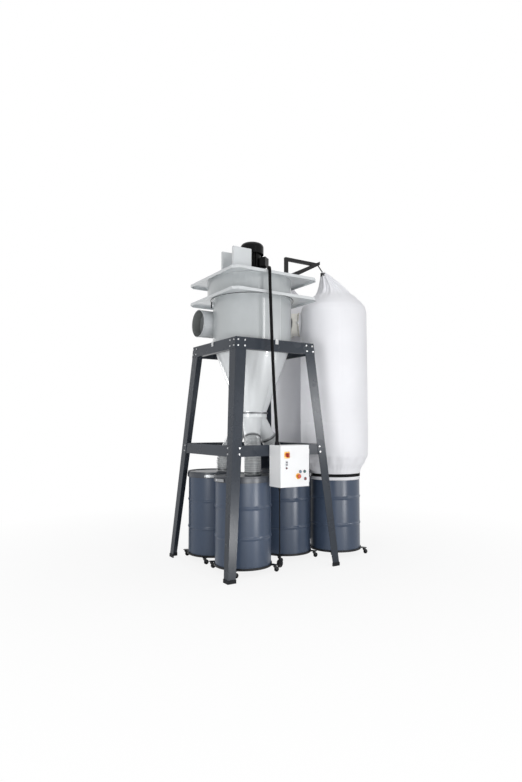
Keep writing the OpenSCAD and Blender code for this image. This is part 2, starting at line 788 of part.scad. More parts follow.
module on_arm(bag) {
    d = arm_dir(bag);
    translate([bag[0], bag[1], arm_z]) rotate([0, 0, atan2(d[1], d[0])]) rotate([0, -90, 0]) children();
}

module duct_arm(bag, r) {
    reach = norm([bag[0] - arm_from[0], bag[1] - arm_from[1]]);
    on_arm(bag) translate([0, 0, bag_r + arm_short]) cylinder(h = reach - bag_r - arm_short, r = r);
}

module outlet_duct() {
    z1 = motor_z - plate_lip - 4;
    tongue_y = volute_pt(0, 0)[1];
    color("#bdb9ab") place() difference() {
        union() {
            translate([duct_x0, duct_y0, duct_z0]) cube([duct_x1 - duct_x0, duct_y1 - duct_y0, z1 - duct_z0]);
            translate([outlet_x + 0.2, tongue_y, low_plate_top + 2])
                cube([duct_x0 - outlet_x, duct_y1 - tongue_y, z1 - low_plate_top - 2]);
            intersection() {
                union() for (bag = [bag_front, bag_rear]) duct_arm(bag, arm_r);
                translate([duct_x0, -1000, 0]) cube([1000, 3000, 2 * arm_z]);
            }
        }
        translate([duct_x0 + sheet, duct_y0 + sheet, duct_z0 + sheet])
            cube([duct_x1 - duct_x0 - 2 * sheet, duct_y1 - duct_y0 - 2 * sheet, z1 - duct_z0 - 2 * sheet]);
        translate([outlet_x, tongue_y + sheet, low_plate_top + 2 + sheet])
            cube([duct_x0 - outlet_x + 2 * sheet, duct_y1 - tongue_y - 2 * sheet, z1 - low_plate_top - 2 - 2 * sheet]);
        intersection() {
            union() for (bag = [bag_front, bag_rear]) on_arm(bag) translate([0, 0, bag_r])
                cylinder(h = 400, r = arm_r - sheet);
            translate([duct_x0 + sheet, -1000, 0]) cube([1000, 3000, 2 * arm_z]);
        }
    }
}

// Filter bags, brackets and bands
function bag_apex(bag, y) = [bag[0] + bag_lean, bag[1] + 0.6 * (y - bag[1])];
function bag_ring(bag, apex, z, r, lean_share) = [for (j = [0:bag_sides - 1])
    [bag[0] + (apex[0] - bag[0]) * lean_share + r * cos(j * 360 / bag_sides),
     bag[1] + (apex[1] - bag[1]) * lean_share + r * sin(j * 360 / bag_sides), z]];

module filter_bag(bag, y) {
    apex = bag_apex(bag, y);
    hem = drum_top - hem_h;
    rim = drum_top + curl_r;
    outside = concat([bag_ring(bag, apex, hem, hem_r + bag_t, 0), bag_ring(bag, apex, rim, hem_r + bag_t, 0)],
        [for (p = bag_rows) bag_ring(bag, apex, p[0], bag_r * p[1], p[2])]);
    inside = concat([bag_ring(bag, apex, hem, hem_r, 0), bag_ring(bag, apex, rim, hem_r, 0)],
        [for (p = bag_rows) bag_ring(bag, apex, p[0] - (p[2] > 0 ? bag_t * 2 : 0),
            max(bag_r * p[1] - bag_t - (p[2] > 0 ? bag_t : 0), bag_t), p[2])]);
    skin(concat(flip(inside), outside));
    difference() {
        on_arm(bag) translate([0, 0, bag_r - 40]) tube_ring(arm_r + 0.3, arm_r + 0.3 + sleeve_t, 40 + sleeve_len);
        translate([bag[0], bag[1], arm_z - 2 * arm_r]) cylinder(h = 4 * arm_r, r = bag_r + 0.3);
    }
}

module filter_bag_front() {
    color("#eceaf2") place() filter_bag(bag_front, bracket_y[0]);
}

module filter_bag_rear() {
    color("#eceaf2") place() filter_bag(bag_rear, bracket_y[1]);
}

module bag_bands() {
    band_r = hem_r + bag_t + 0.3;
    sleeve_r = arm_r + 0.3 + sleeve_t + 0.3;
    color("#141517") place() for (bag = [bag_front, bag_rear]) {
        translate([bag[0], bag[1], drum_top - hem_h + 34]) {
            tube_ring(band_r, band_r + band_t, band_h);
            rotate(-88) translate([band_r + 1, -12, -3]) cube([9, 24, band_h + 6]);
        }
        on_arm(bag) translate([0, 0, bag_r + sleeve_len - sleeve_band - 4]) {
            tube_ring(sleeve_r, sleeve_r + band_t, sleeve_band);
            translate([sleeve_r + 1, -10, 0]) cube([8, 20, sleeve_band]);
        }
    }
}

// Height of the boom's middle line over the rail, and its half depth measured upright
function boom_z(x) = motor_z + rail_up - tube / 2 + boom_slope * (x - boom_in);
function boom_x(z) = boom_in + (z - motor_z - rail_up + tube / 2) / boom_slope;
function boom_half() = tube / 2 * sqrt(1 + pow(boom_slope, 2));

module bag_brackets() {
    rail_z = motor_z + rail_up - tube;
    rail_top = rail_z + tube;
    arm_top = bracket_arm_z + tube;
    half = boom_half();
    color("#17181a") place() for (y = bracket_y) translate([0, y + tube / 2, 0]) rotate([90, 0, 0]) {
        linear_extrude(tube) polygon([[rail_x[0], rail_z], [rail_x[1], rail_z], [rail_x[1], rail_top],
            [rail_x[0], rail_top]]);
        for (x = [rail_x[0] + 20, rail_x[1] - 60]) linear_extrude(tube)
            polygon([[x, motor_z], [x + 40, motor_z], [x + 40, rail_z], [x, rail_z]]);
        linear_extrude(tube) polygon([[post_x - tube / 2, rail_top], [post_x + tube / 2, rail_top],
            [post_x + tube / 2, bracket_arm_z], [post_x - tube / 2, bracket_arm_z]]);
        linear_extrude(tube) polygon([[post_x - tube / 2, bracket_arm_z], [boom_x(bracket_arm_z), bracket_arm_z],
            [boom_x(arm_top - half), arm_top], [post_x - tube / 2, arm_top]]);
        linear_extrude(tube) polygon([[boom_in, boom_z(boom_in)], [boom_in + 2 * tube, boom_z(boom_in)],
            [tip_x, boom_z(tip_x) - half], [tip_x, boom_z(tip_x) + half], [boom_in, boom_z(boom_in) + half]]);
    }
}

module bag_ropes() {
    rope_r = 5;
    hang_x = tip_x - 14;
    color("#202124") place() for (i = [0, 1]) {
        apex = bag_apex([bag_front, bag_rear][i], bracket_y[i]);
        low = [apex[0], apex[1], bag_top];
        high = [hang_x, bracket_y[i], boom_z(hang_x) - boom_half()];
        tilt = unit(high - low);
        under = unit([boom_slope, 0, -1]);
        lift = [0, 0, rope_r * sqrt(1 - pow(tilt[2], 2)) + 0.3];
        drop = under * (rope_r * sqrt(1 - pow(tilt * under, 2)) + 0.3);
        rod(low + lift, high + drop, rope_r);
    }
}

// Control box, open at the front behind its door
module knuckles(lo, hi, y0, y1) {
    side = box_x + box_w / 2;
    difference() {
        union() {
            translate([hinge_x, hinge_y, lo]) cylinder(h = hi - lo, r = hinge_r - free_gap);
            translate([side + free_gap, hinge_y - 1, lo]) cube([hinge_out - free_gap, 2, hi - lo]);
            translate([side + free_gap, min(y0, hinge_y - 1), lo])
                cube([box_t, max(y1, hinge_y + 1) - min(y0, hinge_y - 1), hi - lo]);
            translate([side - box_t / 2, y0, lo]) cube([box_t * 3 / 2 + free_gap, y1 - y0, hi - lo]);
        }
        translate([hinge_x, hinge_y, lo - 1]) cylinder(h = hi - lo + 2, r = pin_r + run_gap);
    }
}

module enclosure_box() {
    z0 = box_top - box_h;
    face0 = -half_at(mid_beam_z + 8) + leg_t;
    face1 = -half_at(mid_beam_z + mid_beam_h - 8) + leg_t;
    color("#e9eaeb") place() {
        difference() {
            translate([box_x - box_w / 2, box_front, z0]) cube([box_w, box_d, box_h]);
            translate([box_x - box_w / 2 + box_t, box_front - 1, z0 + box_t])
                cube([box_w - 2 * box_t, box_d - box_t + 1, box_h - 2 * box_t]);
        }
        for (x = [-100, 60]) translate([box_x + x, 0, 0]) rotate([90, 0, 90]) linear_extrude(40)
            polygon([[-box_back, mid_beam_z + 8], [face0, mid_beam_z + 8], [face1, mid_beam_z + mid_beam_h - 8],
                [-box_back, mid_beam_z + mid_beam_h - 8]]);
        for (h = hinge_in) {
            knuckles(z0 + h, z0 + h + hinge_h / 3 - free_gap, box_front + 4, box_front + 24);
            knuckles(z0 + h + hinge_h * 2 / 3 + free_gap, z0 + h + hinge_h, box_front + 4, box_front + 24);
            translate([hinge_x, hinge_y, z0 + h - 2]) cylinder(h = hinge_h + 4, r = pin_r);
        }
    }
}

module switchgear() {
    back = -box_back - box_t;
    plate_w = box_w - 50;
    plate_h = box_h - 60;
    zc = box_top - box_h / 2;
    face = back - stand_off - 2;
    color("#b9bdc0") place() {
        translate([box_x - plate_w / 2, face, zc - plate_h / 2]) cube([plate_w, 2, plate_h]);
        for (x = [-1, 1]) for (z = [-1, 1]) translate([box_x + x * (plate_w / 2 - 14), back, zc + z * (plate_h / 2 - 14)])
            rotate([90, 0, 0]) cylinder(h = stand_off, r = 6);
        for (b = [[-105, 70, 62, 80, 78], [-25, 60, 58, 90, 84], [50, 66, 54, 78, 70], [-100, -60, 80, 70, 66],
            [20, -66, 96, 84, 60]])
            translate([box_x + b[0], face - b[4], zc + b[1]]) cube([b[2], b[4], b[3]]);
        for (i = [0:8]) translate([box_x - 120 + i * 26, face - 44, zc - 160]) cube([24, 44, 50]);
    }
}

module through_door(at, r) {
    translate([at[0], door_face - 20, at[1]]) rotate([-90, 0, 0]) cylinder(h = door_d + 40, r = r);
}

module enclosure_door() {
    z0 = box_top - box_h;
    color("#eff0f1") place() {
        difference() {
            translate([box_x - box_w / 2, door_face, z0]) cube([box_w, door_d, box_h]);
            translate([box_x - box_w / 2 + box_t, door_face + box_t, z0 + box_t])
                cube([box_w - 2 * box_t, door_d, box_h - 2 * box_t]);
            through_door(isolator_at, handle_stem_r + run_gap);
            through_door(estop_at, estop_stem_r + free_gap);
            for (at = [start_at, stop_at]) through_door(at, button_r + free_gap);
        }
        for (h = hinge_in) knuckles(z0 + h + hinge_h / 3 + free_gap, z0 + h + hinge_h * 2 / 3 - free_gap,
            door_face + 2, hinge_y - 3);
    }
}

module on_door(at) {
    translate([at[0], door_face, at[1]]) rotate([90, 0, 0]) children();
}

module door_fittings() {
    side = isolator_plate;
    color("#e8b21c") place() {
        on_door(isolator_at) difference() {
            translate([-side / 2, -side / 2, 0]) cube([side, side, fit_t]);
            translate([0, 0, -1]) cylinder(h = fit_t + 2, r = handle_stem_r + run_gap);
        }
        on_door(estop_at) tube_ring(estop_stem_r + free_gap, estop_ring_r, fit_t);
        for (at = [start_at, stop_at]) on_door(at) tube_ring(button_r + free_gap, button_r + 5, fit_t);
        on_door(lamp_at) rotate_extrude() polygon([[0, 0], [button_r + 5, 0], [button_r + 5, fit_t], [button_r, fit_t],
            [button_r, fit_t + 8], [button_r - 4, fit_t + 12], [0, fit_t + 13]]);
        on_door(meter_at) translate([-24, -24, 0]) cube([48, 48, 7]);
    }
}

module isolator_handle() {
    color("#b3201c") place() on_door(isolator_at) {
        translate([0, 0, -door_d]) cylinder(h = door_d + fit_t + free_gap, r = handle_stem_r);
        translate([0, 0, fit_t + free_gap]) cylinder(h = 9, r = handle_r);
        translate([-6, -handle_r + 2, fit_t + 8]) cube([12, 2 * handle_r - 4, handle_reach - 8]);
    }
}

module estop_button() {
    color("#c01f1c") place() on_door(estop_at) {
        translate([0, 0, -6]) cylinder(h = 22, r = estop_stem_r);
        translate([0, 0, 14]) rotate_extrude() polygon([[0, 0], [estop_head_r - 3, 0], [estop_head_r, 4],
            [estop_head_r, 9], [estop_head_r - 4, 13], [0, 15]]);
    }
}

module push_button(at) {
    on_door(at) translate([0, 0, -3]) rotate_extrude() polygon([[0, 0], [button_r, 0], [button_r, 11],
        [button_r - 2, 13], [0, 13]]);
}

module start_button() {
    color("#1d5a55") place() push_button(start_at);
}

module stop_button() {
    color("#8e1b1b") place() push_button(stop_at);
}

// Power cord and plug
module power_cord() {
    color("#1c1d1f") place() cable(cord_pts, 3, cord_r, 8);
}

module power_plug() {
    body = 62;
    shroud = 48;
    taper = 34;
    pin_ring = 15;
    color("#26282b") place() translate([plug_at[0], plug_at[1], plug_r]) rotate([0, 90, plug_turn])
        translate([0, 0, free_gap]) {
        rotate_extrude() polygon([[0, 0], [cord_r + 3, 0], [plug_r - 12, taper], [plug_r - 5, taper + 6],
            [plug_r - 5, taper + body], [plug_r, taper + body + 2], [plug_r, taper + body + shroud],
            [plug_r - 3, taper + body + shroud], [plug_r - 3, taper + body + 6], [0, taper + body + 6]]);
        for (i = [0:4]) rotate(72 * i) translate([pin_ring, 0, taper + body + 5]) cylinder(h = shroud - 10, r = 3);
    }
}

// Drums, lids and lock rings
function hoop_pts(z, grow) = [for (i = [0:8]) let (u = i / 8)
    [drum_r - grow + hoop_h * pow(sin(180 * u), 2), z + hoop_w * (u - 0.5)]];

module drum() {
    base = 14;
    shell = concat([[drum_r, base]], hoop_pts(drum_h / 3, 0), hoop_pts(drum_h * 2 / 3, 0), [[drum_r, drum_h - 3]]);
    inner = concat([[drum_r - drum_t, base + drum_t]], hoop_pts(drum_h / 3, drum_t), hoop_pts(drum_h * 2 / 3, drum_t),
        [[drum_r - drum_t, drum_h - 3]]);
    rotate_extrude($fn = 96) union() {
        polygon(concat([[0, base]], shell, flip(inner), [[0, base + drum_t]]));
        translate([drum_r - drum_t, 0]) square([drum_t, base + 1]);
        for (z = [curl_r - 1.5, drum_h - curl_r]) translate([drum_r, z]) intersection() {
            circle(r = curl_r, $fn = 24);
            translate([-drum_t, -curl_r]) square([2 * curl_r, 2 * curl_r]);
        }
    }
}

module drums() {
    color("#4d5767") place() for (p = all_drums) translate([p[0], p[1], drum_z]) intersection() {
        drum();
        cylinder(h = drum_h, r = 2 * drum_r);
    }
}

function hose_end(i) = hose_x * [cos(leg_turns[i]), sin(leg_turns[i])];

module drum_lids() {
    rise = 10;
    color("#4a4e53") place() for (i = [0:2]) difference() {
        union() {
            translate([dust_drums[i][0], dust_drums[i][1], 0]) rotate_extrude($fn = 96)
                polygon([[0, drum_top], [lid_in, drum_top], [lid_in, drum_top - lid_skirt], [lid_r, drum_top - lid_skirt],
                    [lid_r, lid_top + rise], [lid_r - 8, lid_top + rise], [lid_r - 12, lid_top], [0, lid_top]]);
            translate([hose_end(i)[0], hose_end(i)[1], drum_top]) cylinder(h = spigot_up, r = hose_spigot_r);
        }
        translate([hose_end(i)[0], hose_end(i)[1], drum_top - 1]) cylinder(h = spigot_up + 2, r = hose_spigot_r - sheet);
    }
}

module on_latch(i) {
    translate([dust_drums[i][0], dust_drums[i][1], ring_z]) rotate(latch_at[i]) children();
}

latch_x = ring_r + ring_t + 9;
latch_turn = latch_len / ring_r * 180 / PI;

module lock_rings() {
    color("#8f959a") place() for (i = [0:2]) on_latch(i) {
        difference() {
            union() {
                tube_ring(ring_r, ring_r + ring_t, ring_h);
                for (z = [0, ring_h - ear_t]) translate([ring_r + 1, -8, z]) cube([latch_x - ring_r - 1, 16, ear_t]);
                for (z = [0, ring_h - ear_t]) translate([latch_x, 0, z]) cylinder(h = ear_t, r = 8);
            }
            translate([latch_x, 0, -1]) cylinder(h = ring_h + 2, r = latch_pin_r + run_gap);
        }
    }
}

module latch(i) {
    z0 = ear_t + free_gap;
    h = ring_h - 2 * z0;
    r0 = latch_x - 3;
    color("#d5d8da") place() on_latch(i) {
        translate([latch_x, 0, 0.5]) cylinder(h = ring_h - 1, r = latch_pin_r);
        translate([latch_x, 0, z0]) cylinder(h = h, r = 7);
        translate([0, 0, z0]) linear_extrude(h) polygon(concat([for (a = [0:latch_turn / 8:latch_turn]) r0 * [cos(a), sin(a)]],
            [for (a = [latch_turn:-latch_turn / 8:0]) (r0 + 6) * [cos(a), sin(a)]]));
    }
}

module latch_front() {
    latch(0);
}

module latch_left() {
    latch(1);
}

module latch_right() {
    latch(2);
}

// Dollies and casters
module on_casters(p) {
    for (x = [-1, 1]) for (y = [-1, 1]) translate([p[0] + x * caster_out, p[1] + y * caster_out, 0]) children();
}

module dollies() {
    lip = 18;
    seat_w = 50;
    ring_in = drum_r + curl_r + free_gap;
    bar_w = 44;
    corner = caster_out * sqrt(2);
    color("#222428") place() for (p = all_drums) translate([p[0], p[1], 0]) {
        translate([0, 0, drum_z - dolly_t]) tube_ring(drum_r - seat_w, ring_in + 3, dolly_t);
        translate([0, 0, drum_z - dolly_t]) tube_ring(ring_in, ring_in + 3, dolly_t + lip);
        for (a = [45, 135]) rotate(a) translate([-drum_r, -bar_w / 2, drum_z - dolly_t]) cube([2 * drum_r, bar_w, dolly_t]);
        for (a = [45:90:315]) rotate(a) {
            translate([ring_in + 1.5, 0, outrigger_z]) linear_extrude(dolly_t)
                polygon([[0, -40], [corner - ring_in, -26], [corner - ring_in + 26, -14], [corner - ring_in + 26, 14],
                    [corner - ring_in, 26], [0, 40]]);
        }
    }
}

module caster_forks() {
    head = outrigger_z - 2 * wheel_r - 4;
    cheek = wheel_w / 2 + fork_gap;
    color("#2c2f33") place() for (p = all_drums) on_casters(p) {
        translate([0, 0, outrigger_z - head]) cylinder(h = head, r = 17);
        for (s = [-1, 1]) translate([0, s * (cheek + fork_t / 2) + fork_t / 2, 0]) rotate([90, 0, 0]) linear_extrude(fork_t)
            polygon([[-16, outrigger_z - head + 2], [-16, outrigger_z - head], [trail - 8, wheel_r - 5], [trail + 8, wheel_r - 5],
                [trail + 10, wheel_r + 6], [14, outrigger_z - head + 2]]);
        translate([-16, -cheek - fork_t, outrigger_z - head]) cube([30, 2 * (cheek + fork_t), 2]);
        translate([trail, cheek + fork_t, wheel_r]) rotate([90, 0, 0]) cylinder(h = 2 * (cheek + fork_t), r = axle_r);
    }
}

module wheel_pair(p, side) {
    color("#18191b") place() for (y = [-1, 1])
        translate([p[0] + side * caster_out + trail, p[1] + y * caster_out + wheel_w / 2, wheel_r]) rotate([90, 0, 0])
            rotate_extrude() polygon([[axle_r + run_gap, 0], [11, 0], [11, 3], [wheel_r - 7, 3], [wheel_r - 6, 0],
                [wheel_r - 2, 0], [wheel_r, 3], [wheel_r, wheel_w - 3], [wheel_r - 2, wheel_w], [wheel_r - 6, wheel_w],
                [wheel_r - 7, wheel_w - 3], [11, wheel_w - 3], [11, wheel_w], [axle_r + run_gap, wheel_w]]);
}

frame_legs();
foot_caps();
top_beams();
mid_beams();
frame_bolts();
cyclone_barrel();
inlet_spigot();
vortex_tube();
cyclone_cone();
mounting_lugs();
clamp_rings();
dust_splitter();
dust_hoses();
lower_plate();
fan_housing();
top_plate();
upright_channels();
impeller();
motor_shaft();
cooling_fan();
motor_housing();
motor_end_shields();
fan_cowl();
terminal_box();
cable_glands();
motor_cable();
outlet_duct();
bag_brackets();
bag_ropes();
filter_bag_front();
filter_bag_rear();
bag_bands();
enclosure_box();
switchgear();
enclosure_door();
door_fittings();
isolator_handle();
estop_button();
start_button();
stop_button();
power_cord();
power_plug();
drums();
drum_lids();
lock_rings();
latch_front();
latch_left();
latch_right();
dollies();
caster_forks();
wheel_pair(drum_front, -1);  // wheels_front_a
wheel_pair(drum_front, 1);  // wheels_front_b
wheel_pair(drum_left, -1);  // wheels_left_a
wheel_pair(drum_left, 1);  // wheels_left_b
wheel_pair(drum_right, -1);  // wheels_right_a
wheel_pair(drum_right, 1);  // wheels_right_b
wheel_pair(bag_front, -1);  // wheels_bag_front_a
wheel_pair(bag_front, 1);  // wheels_bag_front_b
wheel_pair(bag_rear, -1);  // wheels_bag_rear_a
wheel_pair(bag_rear, 1);  // wheels_bag_rear_b
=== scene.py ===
# Cyclone dust collector: a splayed stand with a fan-topped cyclone, hoses to drums and two filter bags.
import math

import bpy
from mathutils import Matrix, Vector


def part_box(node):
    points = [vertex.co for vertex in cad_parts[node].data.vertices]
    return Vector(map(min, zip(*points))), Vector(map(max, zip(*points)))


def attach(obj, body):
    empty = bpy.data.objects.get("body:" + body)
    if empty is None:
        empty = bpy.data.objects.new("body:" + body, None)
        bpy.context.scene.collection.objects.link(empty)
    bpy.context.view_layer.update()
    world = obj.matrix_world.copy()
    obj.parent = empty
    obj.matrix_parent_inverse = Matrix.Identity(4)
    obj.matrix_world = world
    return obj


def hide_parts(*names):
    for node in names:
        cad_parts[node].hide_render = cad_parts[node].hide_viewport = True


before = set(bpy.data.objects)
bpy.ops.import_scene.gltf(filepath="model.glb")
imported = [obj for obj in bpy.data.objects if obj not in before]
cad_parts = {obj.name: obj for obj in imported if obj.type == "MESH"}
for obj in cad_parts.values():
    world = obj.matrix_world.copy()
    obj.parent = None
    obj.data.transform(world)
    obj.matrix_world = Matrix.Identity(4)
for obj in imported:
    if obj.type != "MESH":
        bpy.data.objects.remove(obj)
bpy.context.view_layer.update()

# Studio: a white floor that fades into a white room, lit by soft lamps and an even room light.
# The camera stands at the photograph's place, low in front of the left-hand corner.
# The two spark lamps light nothing matt: they only show as bright streaks in gloss paint.
scene = bpy.context.scene
scene.view_settings.view_transform = "Standard"
cone_low, cone_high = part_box("cyclone_cone")
axis_x = (cone_low[0] + cone_high[0]) / 2
axis_y = (cone_low[1] + cone_high[1]) / 2


def about_axis(x, y, z):
    # a point given from the cyclone's upright axis
    return Vector((axis_x + x, axis_y + y, z))


camera_spot = about_axis(-3.2253, -5.2443, 1.4596)
camera_tilt, camera_heading = math.pi / 2 + 0.0626, -0.5677
focal_pixels, picture_pixels, sensor_mm = 557.58, 782, 36
bpy.ops.object.select_all(action="DESELECT")
bpy.ops.object.camera_add(location=camera_spot, rotation=(camera_tilt, 0, camera_heading))
camera = bpy.context.object
camera.data.lens = focal_pixels / picture_pixels * sensor_mm
camera.data.clip_end = 60
scene.camera = camera

bpy.ops.mesh.primitive_plane_add(size=40, location=(0, 0, -0.0005))
floor = bpy.context.object
floor.name = "studio_floor"
floor_paint = bpy.data.materials.new("studio_white")
floor_paint.use_nodes = True
nodes, links = floor_paint.node_tree.nodes, floor_paint.node_tree.links
nodes["Principled BSDF"].inputs["Base Color"].default_value = (0.9, 0.9, 0.9, 1)
nodes["Principled BSDF"].inputs["Roughness"].default_value = 0.9
nodes["Principled BSDF"].inputs["Specular IOR Level"].default_value = 0.1
glow = nodes.new("ShaderNodeEmission")
glow.inputs["Color"].default_value = (1, 1, 1, 1)


def watched(nodes, links):
    # one where the camera, a mirror or clear plastic looks, nought where light only bounces
    path = nodes.new("ShaderNodeLightPath")
    mirror = nodes.new("ShaderNodeMath")
    mirror.operation = "MAXIMUM"
    links.new(path.outputs["Is Glossy Ray"], mirror.inputs[0])
    links.new(path.outputs["Is Transmission Ray"], mirror.inputs[1])
    shown = nodes.new("ShaderNodeMath")
    shown.operation = "MAXIMUM"
    links.new(path.outputs["Is Camera Ray"], shown.inputs[0])
    links.new(mirror.outputs[0], shown.inputs[1])
    return shown


where = nodes.new("ShaderNodeTexCoord")
away = nodes.new("ShaderNodeVectorMath")
away.operation = "LENGTH"
links.new(where.outputs["Object"], away.inputs[0])
fade = nodes.new("ShaderNodeMapRange")
fade.inputs["From Min"].default_value = 1.4
fade.inputs["From Max"].default_value = 4.5
fade.inputs["To Min"].default_value = 0.86
links.new(away.outputs["Value"], fade.inputs["Value"])
seen = nodes.new("ShaderNodeMath")
seen.operation = "MULTIPLY"
links.new(watched(nodes, links).outputs[0], seen.inputs[0])
links.new(fade.outputs["Result"], seen.inputs[1])
both = nodes.new("ShaderNodeMixShader")
links.new(seen.outputs[0], both.inputs[0])
links.new(nodes["Principled BSDF"].outputs[0], both.inputs[1])
links.new(glow.outputs[0], both.inputs[2])
links.new(both.outputs[0], nodes["Material Output"].inputs["Surface"])
floor.data.materials.append(floor_paint)

room = bpy.data.worlds.new("studio_room")
scene.world = room
room.use_nodes = True
nodes, links = room.node_tree.nodes, room.node_tree.links
level = nodes.new("ShaderNodeMapRange")
level.inputs["To Min"].default_value = 0.47
level.inputs["To Max"].default_value = 1.0
links.new(watched(nodes, links).outputs[0], level.inputs["Value"])
nodes["Background"].inputs["Color"].default_value = (1, 1, 1, 1)
links.new(level.outputs["Result"], nodes["Background"].inputs["Strength"])

for name, spot, aim, wide, tall, watts, spread in (
        ("lamp_key", (0.3, -6.8, 2.5), (0.1, 0, 1.7), 0.5, 4.8, 86, 180),
        ("lamp_fill", (-1.6, -6.2, 0.6), (0.2, 0, 1.9), 2.2, 0.9, 80, 180),
        ("spark_high", (4.31, -5.17, 2.52), (0.6, -0.55, 1.6), 0.7, 1.1, 112, 180),
        ("spark_low", (1.3, -4.2, 0.2), (-0.5, -0.6, 0.4), 0.7, 0.4, 50, 180),
        ("lamp_left", (-5.6, -3.0, 1.3), (0.3, 0.3, 1.4), 2.0, 2.0, 85, 180),
        ("lamp_beam", (-2.6, -1.2, 1.7), (0.95, 0.55, 1.65), 0.5, 0.9, 0.7, 35),
        ("lamp_rear", (-0.5, 1.6, 1.7), (1.03, 0.66, 1.7), 0.4, 1.6, 14, 180),
        ("lamp_right", (6.2, -0.6, 2.2), (0.8, 0.2, 1.6), 2.0, 2.4, 30, 180),
        ("lamp_top", (-0.3, -0.8, 6.8), (-0.3, -0.7, 0), 4.5, 4.5, 50, 180)):
    bpy.ops.object.light_add(type="AREA", location=about_axis(*spot))
    lamp = bpy.context.object
    lamp.name = name
    lamp.data.shape = "RECTANGLE"
    lamp.data.size = wide
    lamp.data.size_y = tall
    lamp.data.energy = watts
    lamp.data.spread = math.radians(spread)
    lamp.visible_camera = False
    lamp.visible_diffuse = not name.startswith("spark")
    lamp.rotation_euler = (about_axis(*aim) - lamp.location).to_track_quat("-Z", "Y").to_euler()

# Power cord: round black rubber mains lead, hanging from the gland under the control box.
# It sweeps down to the floor and ends in a dark industrial plug.
cord_route = [(-98, -680, 820), (-98, -680, 760), (-98, -680, 600), (-98, -680, 440), (-97, -678, 320),
              (-90, -668, 230), (-74, -645, 155), (-46, -604, 98), (-10, -552, 60), (18, -511, 42),
              (36, -484, 33), (46, -470, 33), (55, -457, 33)]
cord_radius = 0.006


def smooth_route(points, steps):
    # a soft curve through points in millimetres from the cyclone's axis, given back in metres
    line = []
    for i in range(len(points) - 1):
        a, b, c, d = (Vector(points[k]) for k in (max(i - 1, 0), i, i + 1, min(i + 2, len(points) - 1)))
        for s in range(steps):
            u = s / steps
            line.append(0.5 * (2 * b + (c - a) * u + (2 * a - 5 * b + 4 * c - d) * u * u
                               + (3 * b - a - 3 * c + d) * u ** 3))
    line.append(Vector(points[-1]))
    return [about_axis(p.x / 1000, p.y / 1000, p.z / 1000) for p in line]


def lead(name, line, radius):
    # a round strand swept along the line
    curve = bpy.data.curves.new(name, "CURVE")
    curve.dimensions = "3D"
    strand = curve.splines.new("POLY")
    strand.points.add(len(line) - 1)
    for point, place in zip(strand.points, line):
        point.co = (*place, 1)
    curve.bevel_depth = radius
    curve.bevel_resolution = 5
    curve.use_fill_caps = True
    cable = bpy.data.objects.new(name, curve)
    bpy.context.collection.objects.link(cable)
    return cable


def new_finish(name):
    finish = bpy.data.materials.new(name)
    finish.use_nodes = True
    nodes, links = finish.node_tree.nodes, finish.node_tree.links
    return finish, nodes, links, nodes["Principled BSDF"]


def noise(nodes, links, place, scale, detail=2.0, rough=0.5):
    texture = nodes.new("ShaderNodeTexNoise")
    texture.inputs["Scale"].default_value = scale
    texture.inputs["Detail"].default_value = detail
    texture.inputs["Roughness"].default_value = rough
    links.new(place, texture.inputs["Vector"])
    return texture.outputs["Fac"]


def ramp(nodes, links, value, start, dark, end, light):
    shade = nodes.new("ShaderNodeValToRGB")
    shade.color_ramp.elements[0].position = start
    shade.color_ramp.elements[0].color = (*dark, 1)
    shade.color_ramp.elements[1].position = end
    shade.color_ramp.elements[1].color = (*[min(1, c) for c in light], 1)
    links.new(value, shade.inputs["Fac"])
    return shade.outputs["Color"]


def emboss(nodes, links, height, strength, distance):
    bump = nodes.new("ShaderNodeBump")
    bump.inputs["Strength"].default_value = strength
    bump.inputs["Distance"].default_value = distance
    links.new(height, bump.inputs["Height"])
    links.new(bump.outputs["Normal"], nodes["Principled BSDF"].inputs["Normal"])


def matt_finish(name, colour, rough, grain, relief):
    # dull rubber, plastic or webbing with dust in its grain
    skin, nodes, links, shader = new_finish(name)
    shader.inputs["Roughness"].default_value = rough
    shader.inputs["Specular IOR Level"].default_value = 0.06
    where = nodes.new("ShaderNodeTexCoord").outputs["Object"]
    dust = noise(nodes, links, where, 14, 6)
    links.new(ramp(nodes, links, dust, 0.3, [c * 0.8 for c in colour],
                   0.75, [c * 1.3 + 0.004 for c in colour]), shader.inputs["Base Color"])
    emboss(nodes, links, noise(nodes, links, where, grain), relief, 0.0006)
    return skin


def dress(node, finish):
    # one finish on every slot of a CAD node
    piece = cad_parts[node]
    if not piece.material_slots:
        piece.data.materials.append(finish)
    for slot in piece.material_slots:
        slot.material = finish


cord_line = smooth_route(cord_route, 6)
power_cord = lead("power_cord_rubber", cord_line, cord_radius)
cord_rubber = matt_finish("cord_rubber", (0.008, 0.008, 0.009), 0.55, 400, 0.3)
power_cord.data.materials.append(cord_rubber)
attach(power_cord, "stand")
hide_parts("power_cord")
plug_plastic = matt_finish("plug_plastic", (0.010, 0.010, 0.012), 0.42, 900, 0.25)
dress("power_plug", plug_plastic)
dress("cable_glands", plug_plastic)

# Motor cable: black flexible conduit from the terminal box over the top plate's front edge.
# It runs straight down in front of the stand to the gland on the control box.
conduit_route = [(80, -115, 3181), (80, -115, 3169), (80, -115, 3157), (76, -150, 3111), (40, -220, 3088),
                 (-20, -330, 3085), (-80, -450, 3085), (-116, -520, 3087), (-134, -560, 3069),
                 (-140, -574, 3010), (-140, -578, 2900), (-136, -590, 2598), (-130, -606, 2203),
                 (-122, -626, 1808), (-114, -646, 1503), (-110, -655, 1360), (-110, -655, 1333),
                 (-110, -655, 1306)]
groove_radius, rib_radius, rib_step = 0.0155, 0.0168, 0.0045


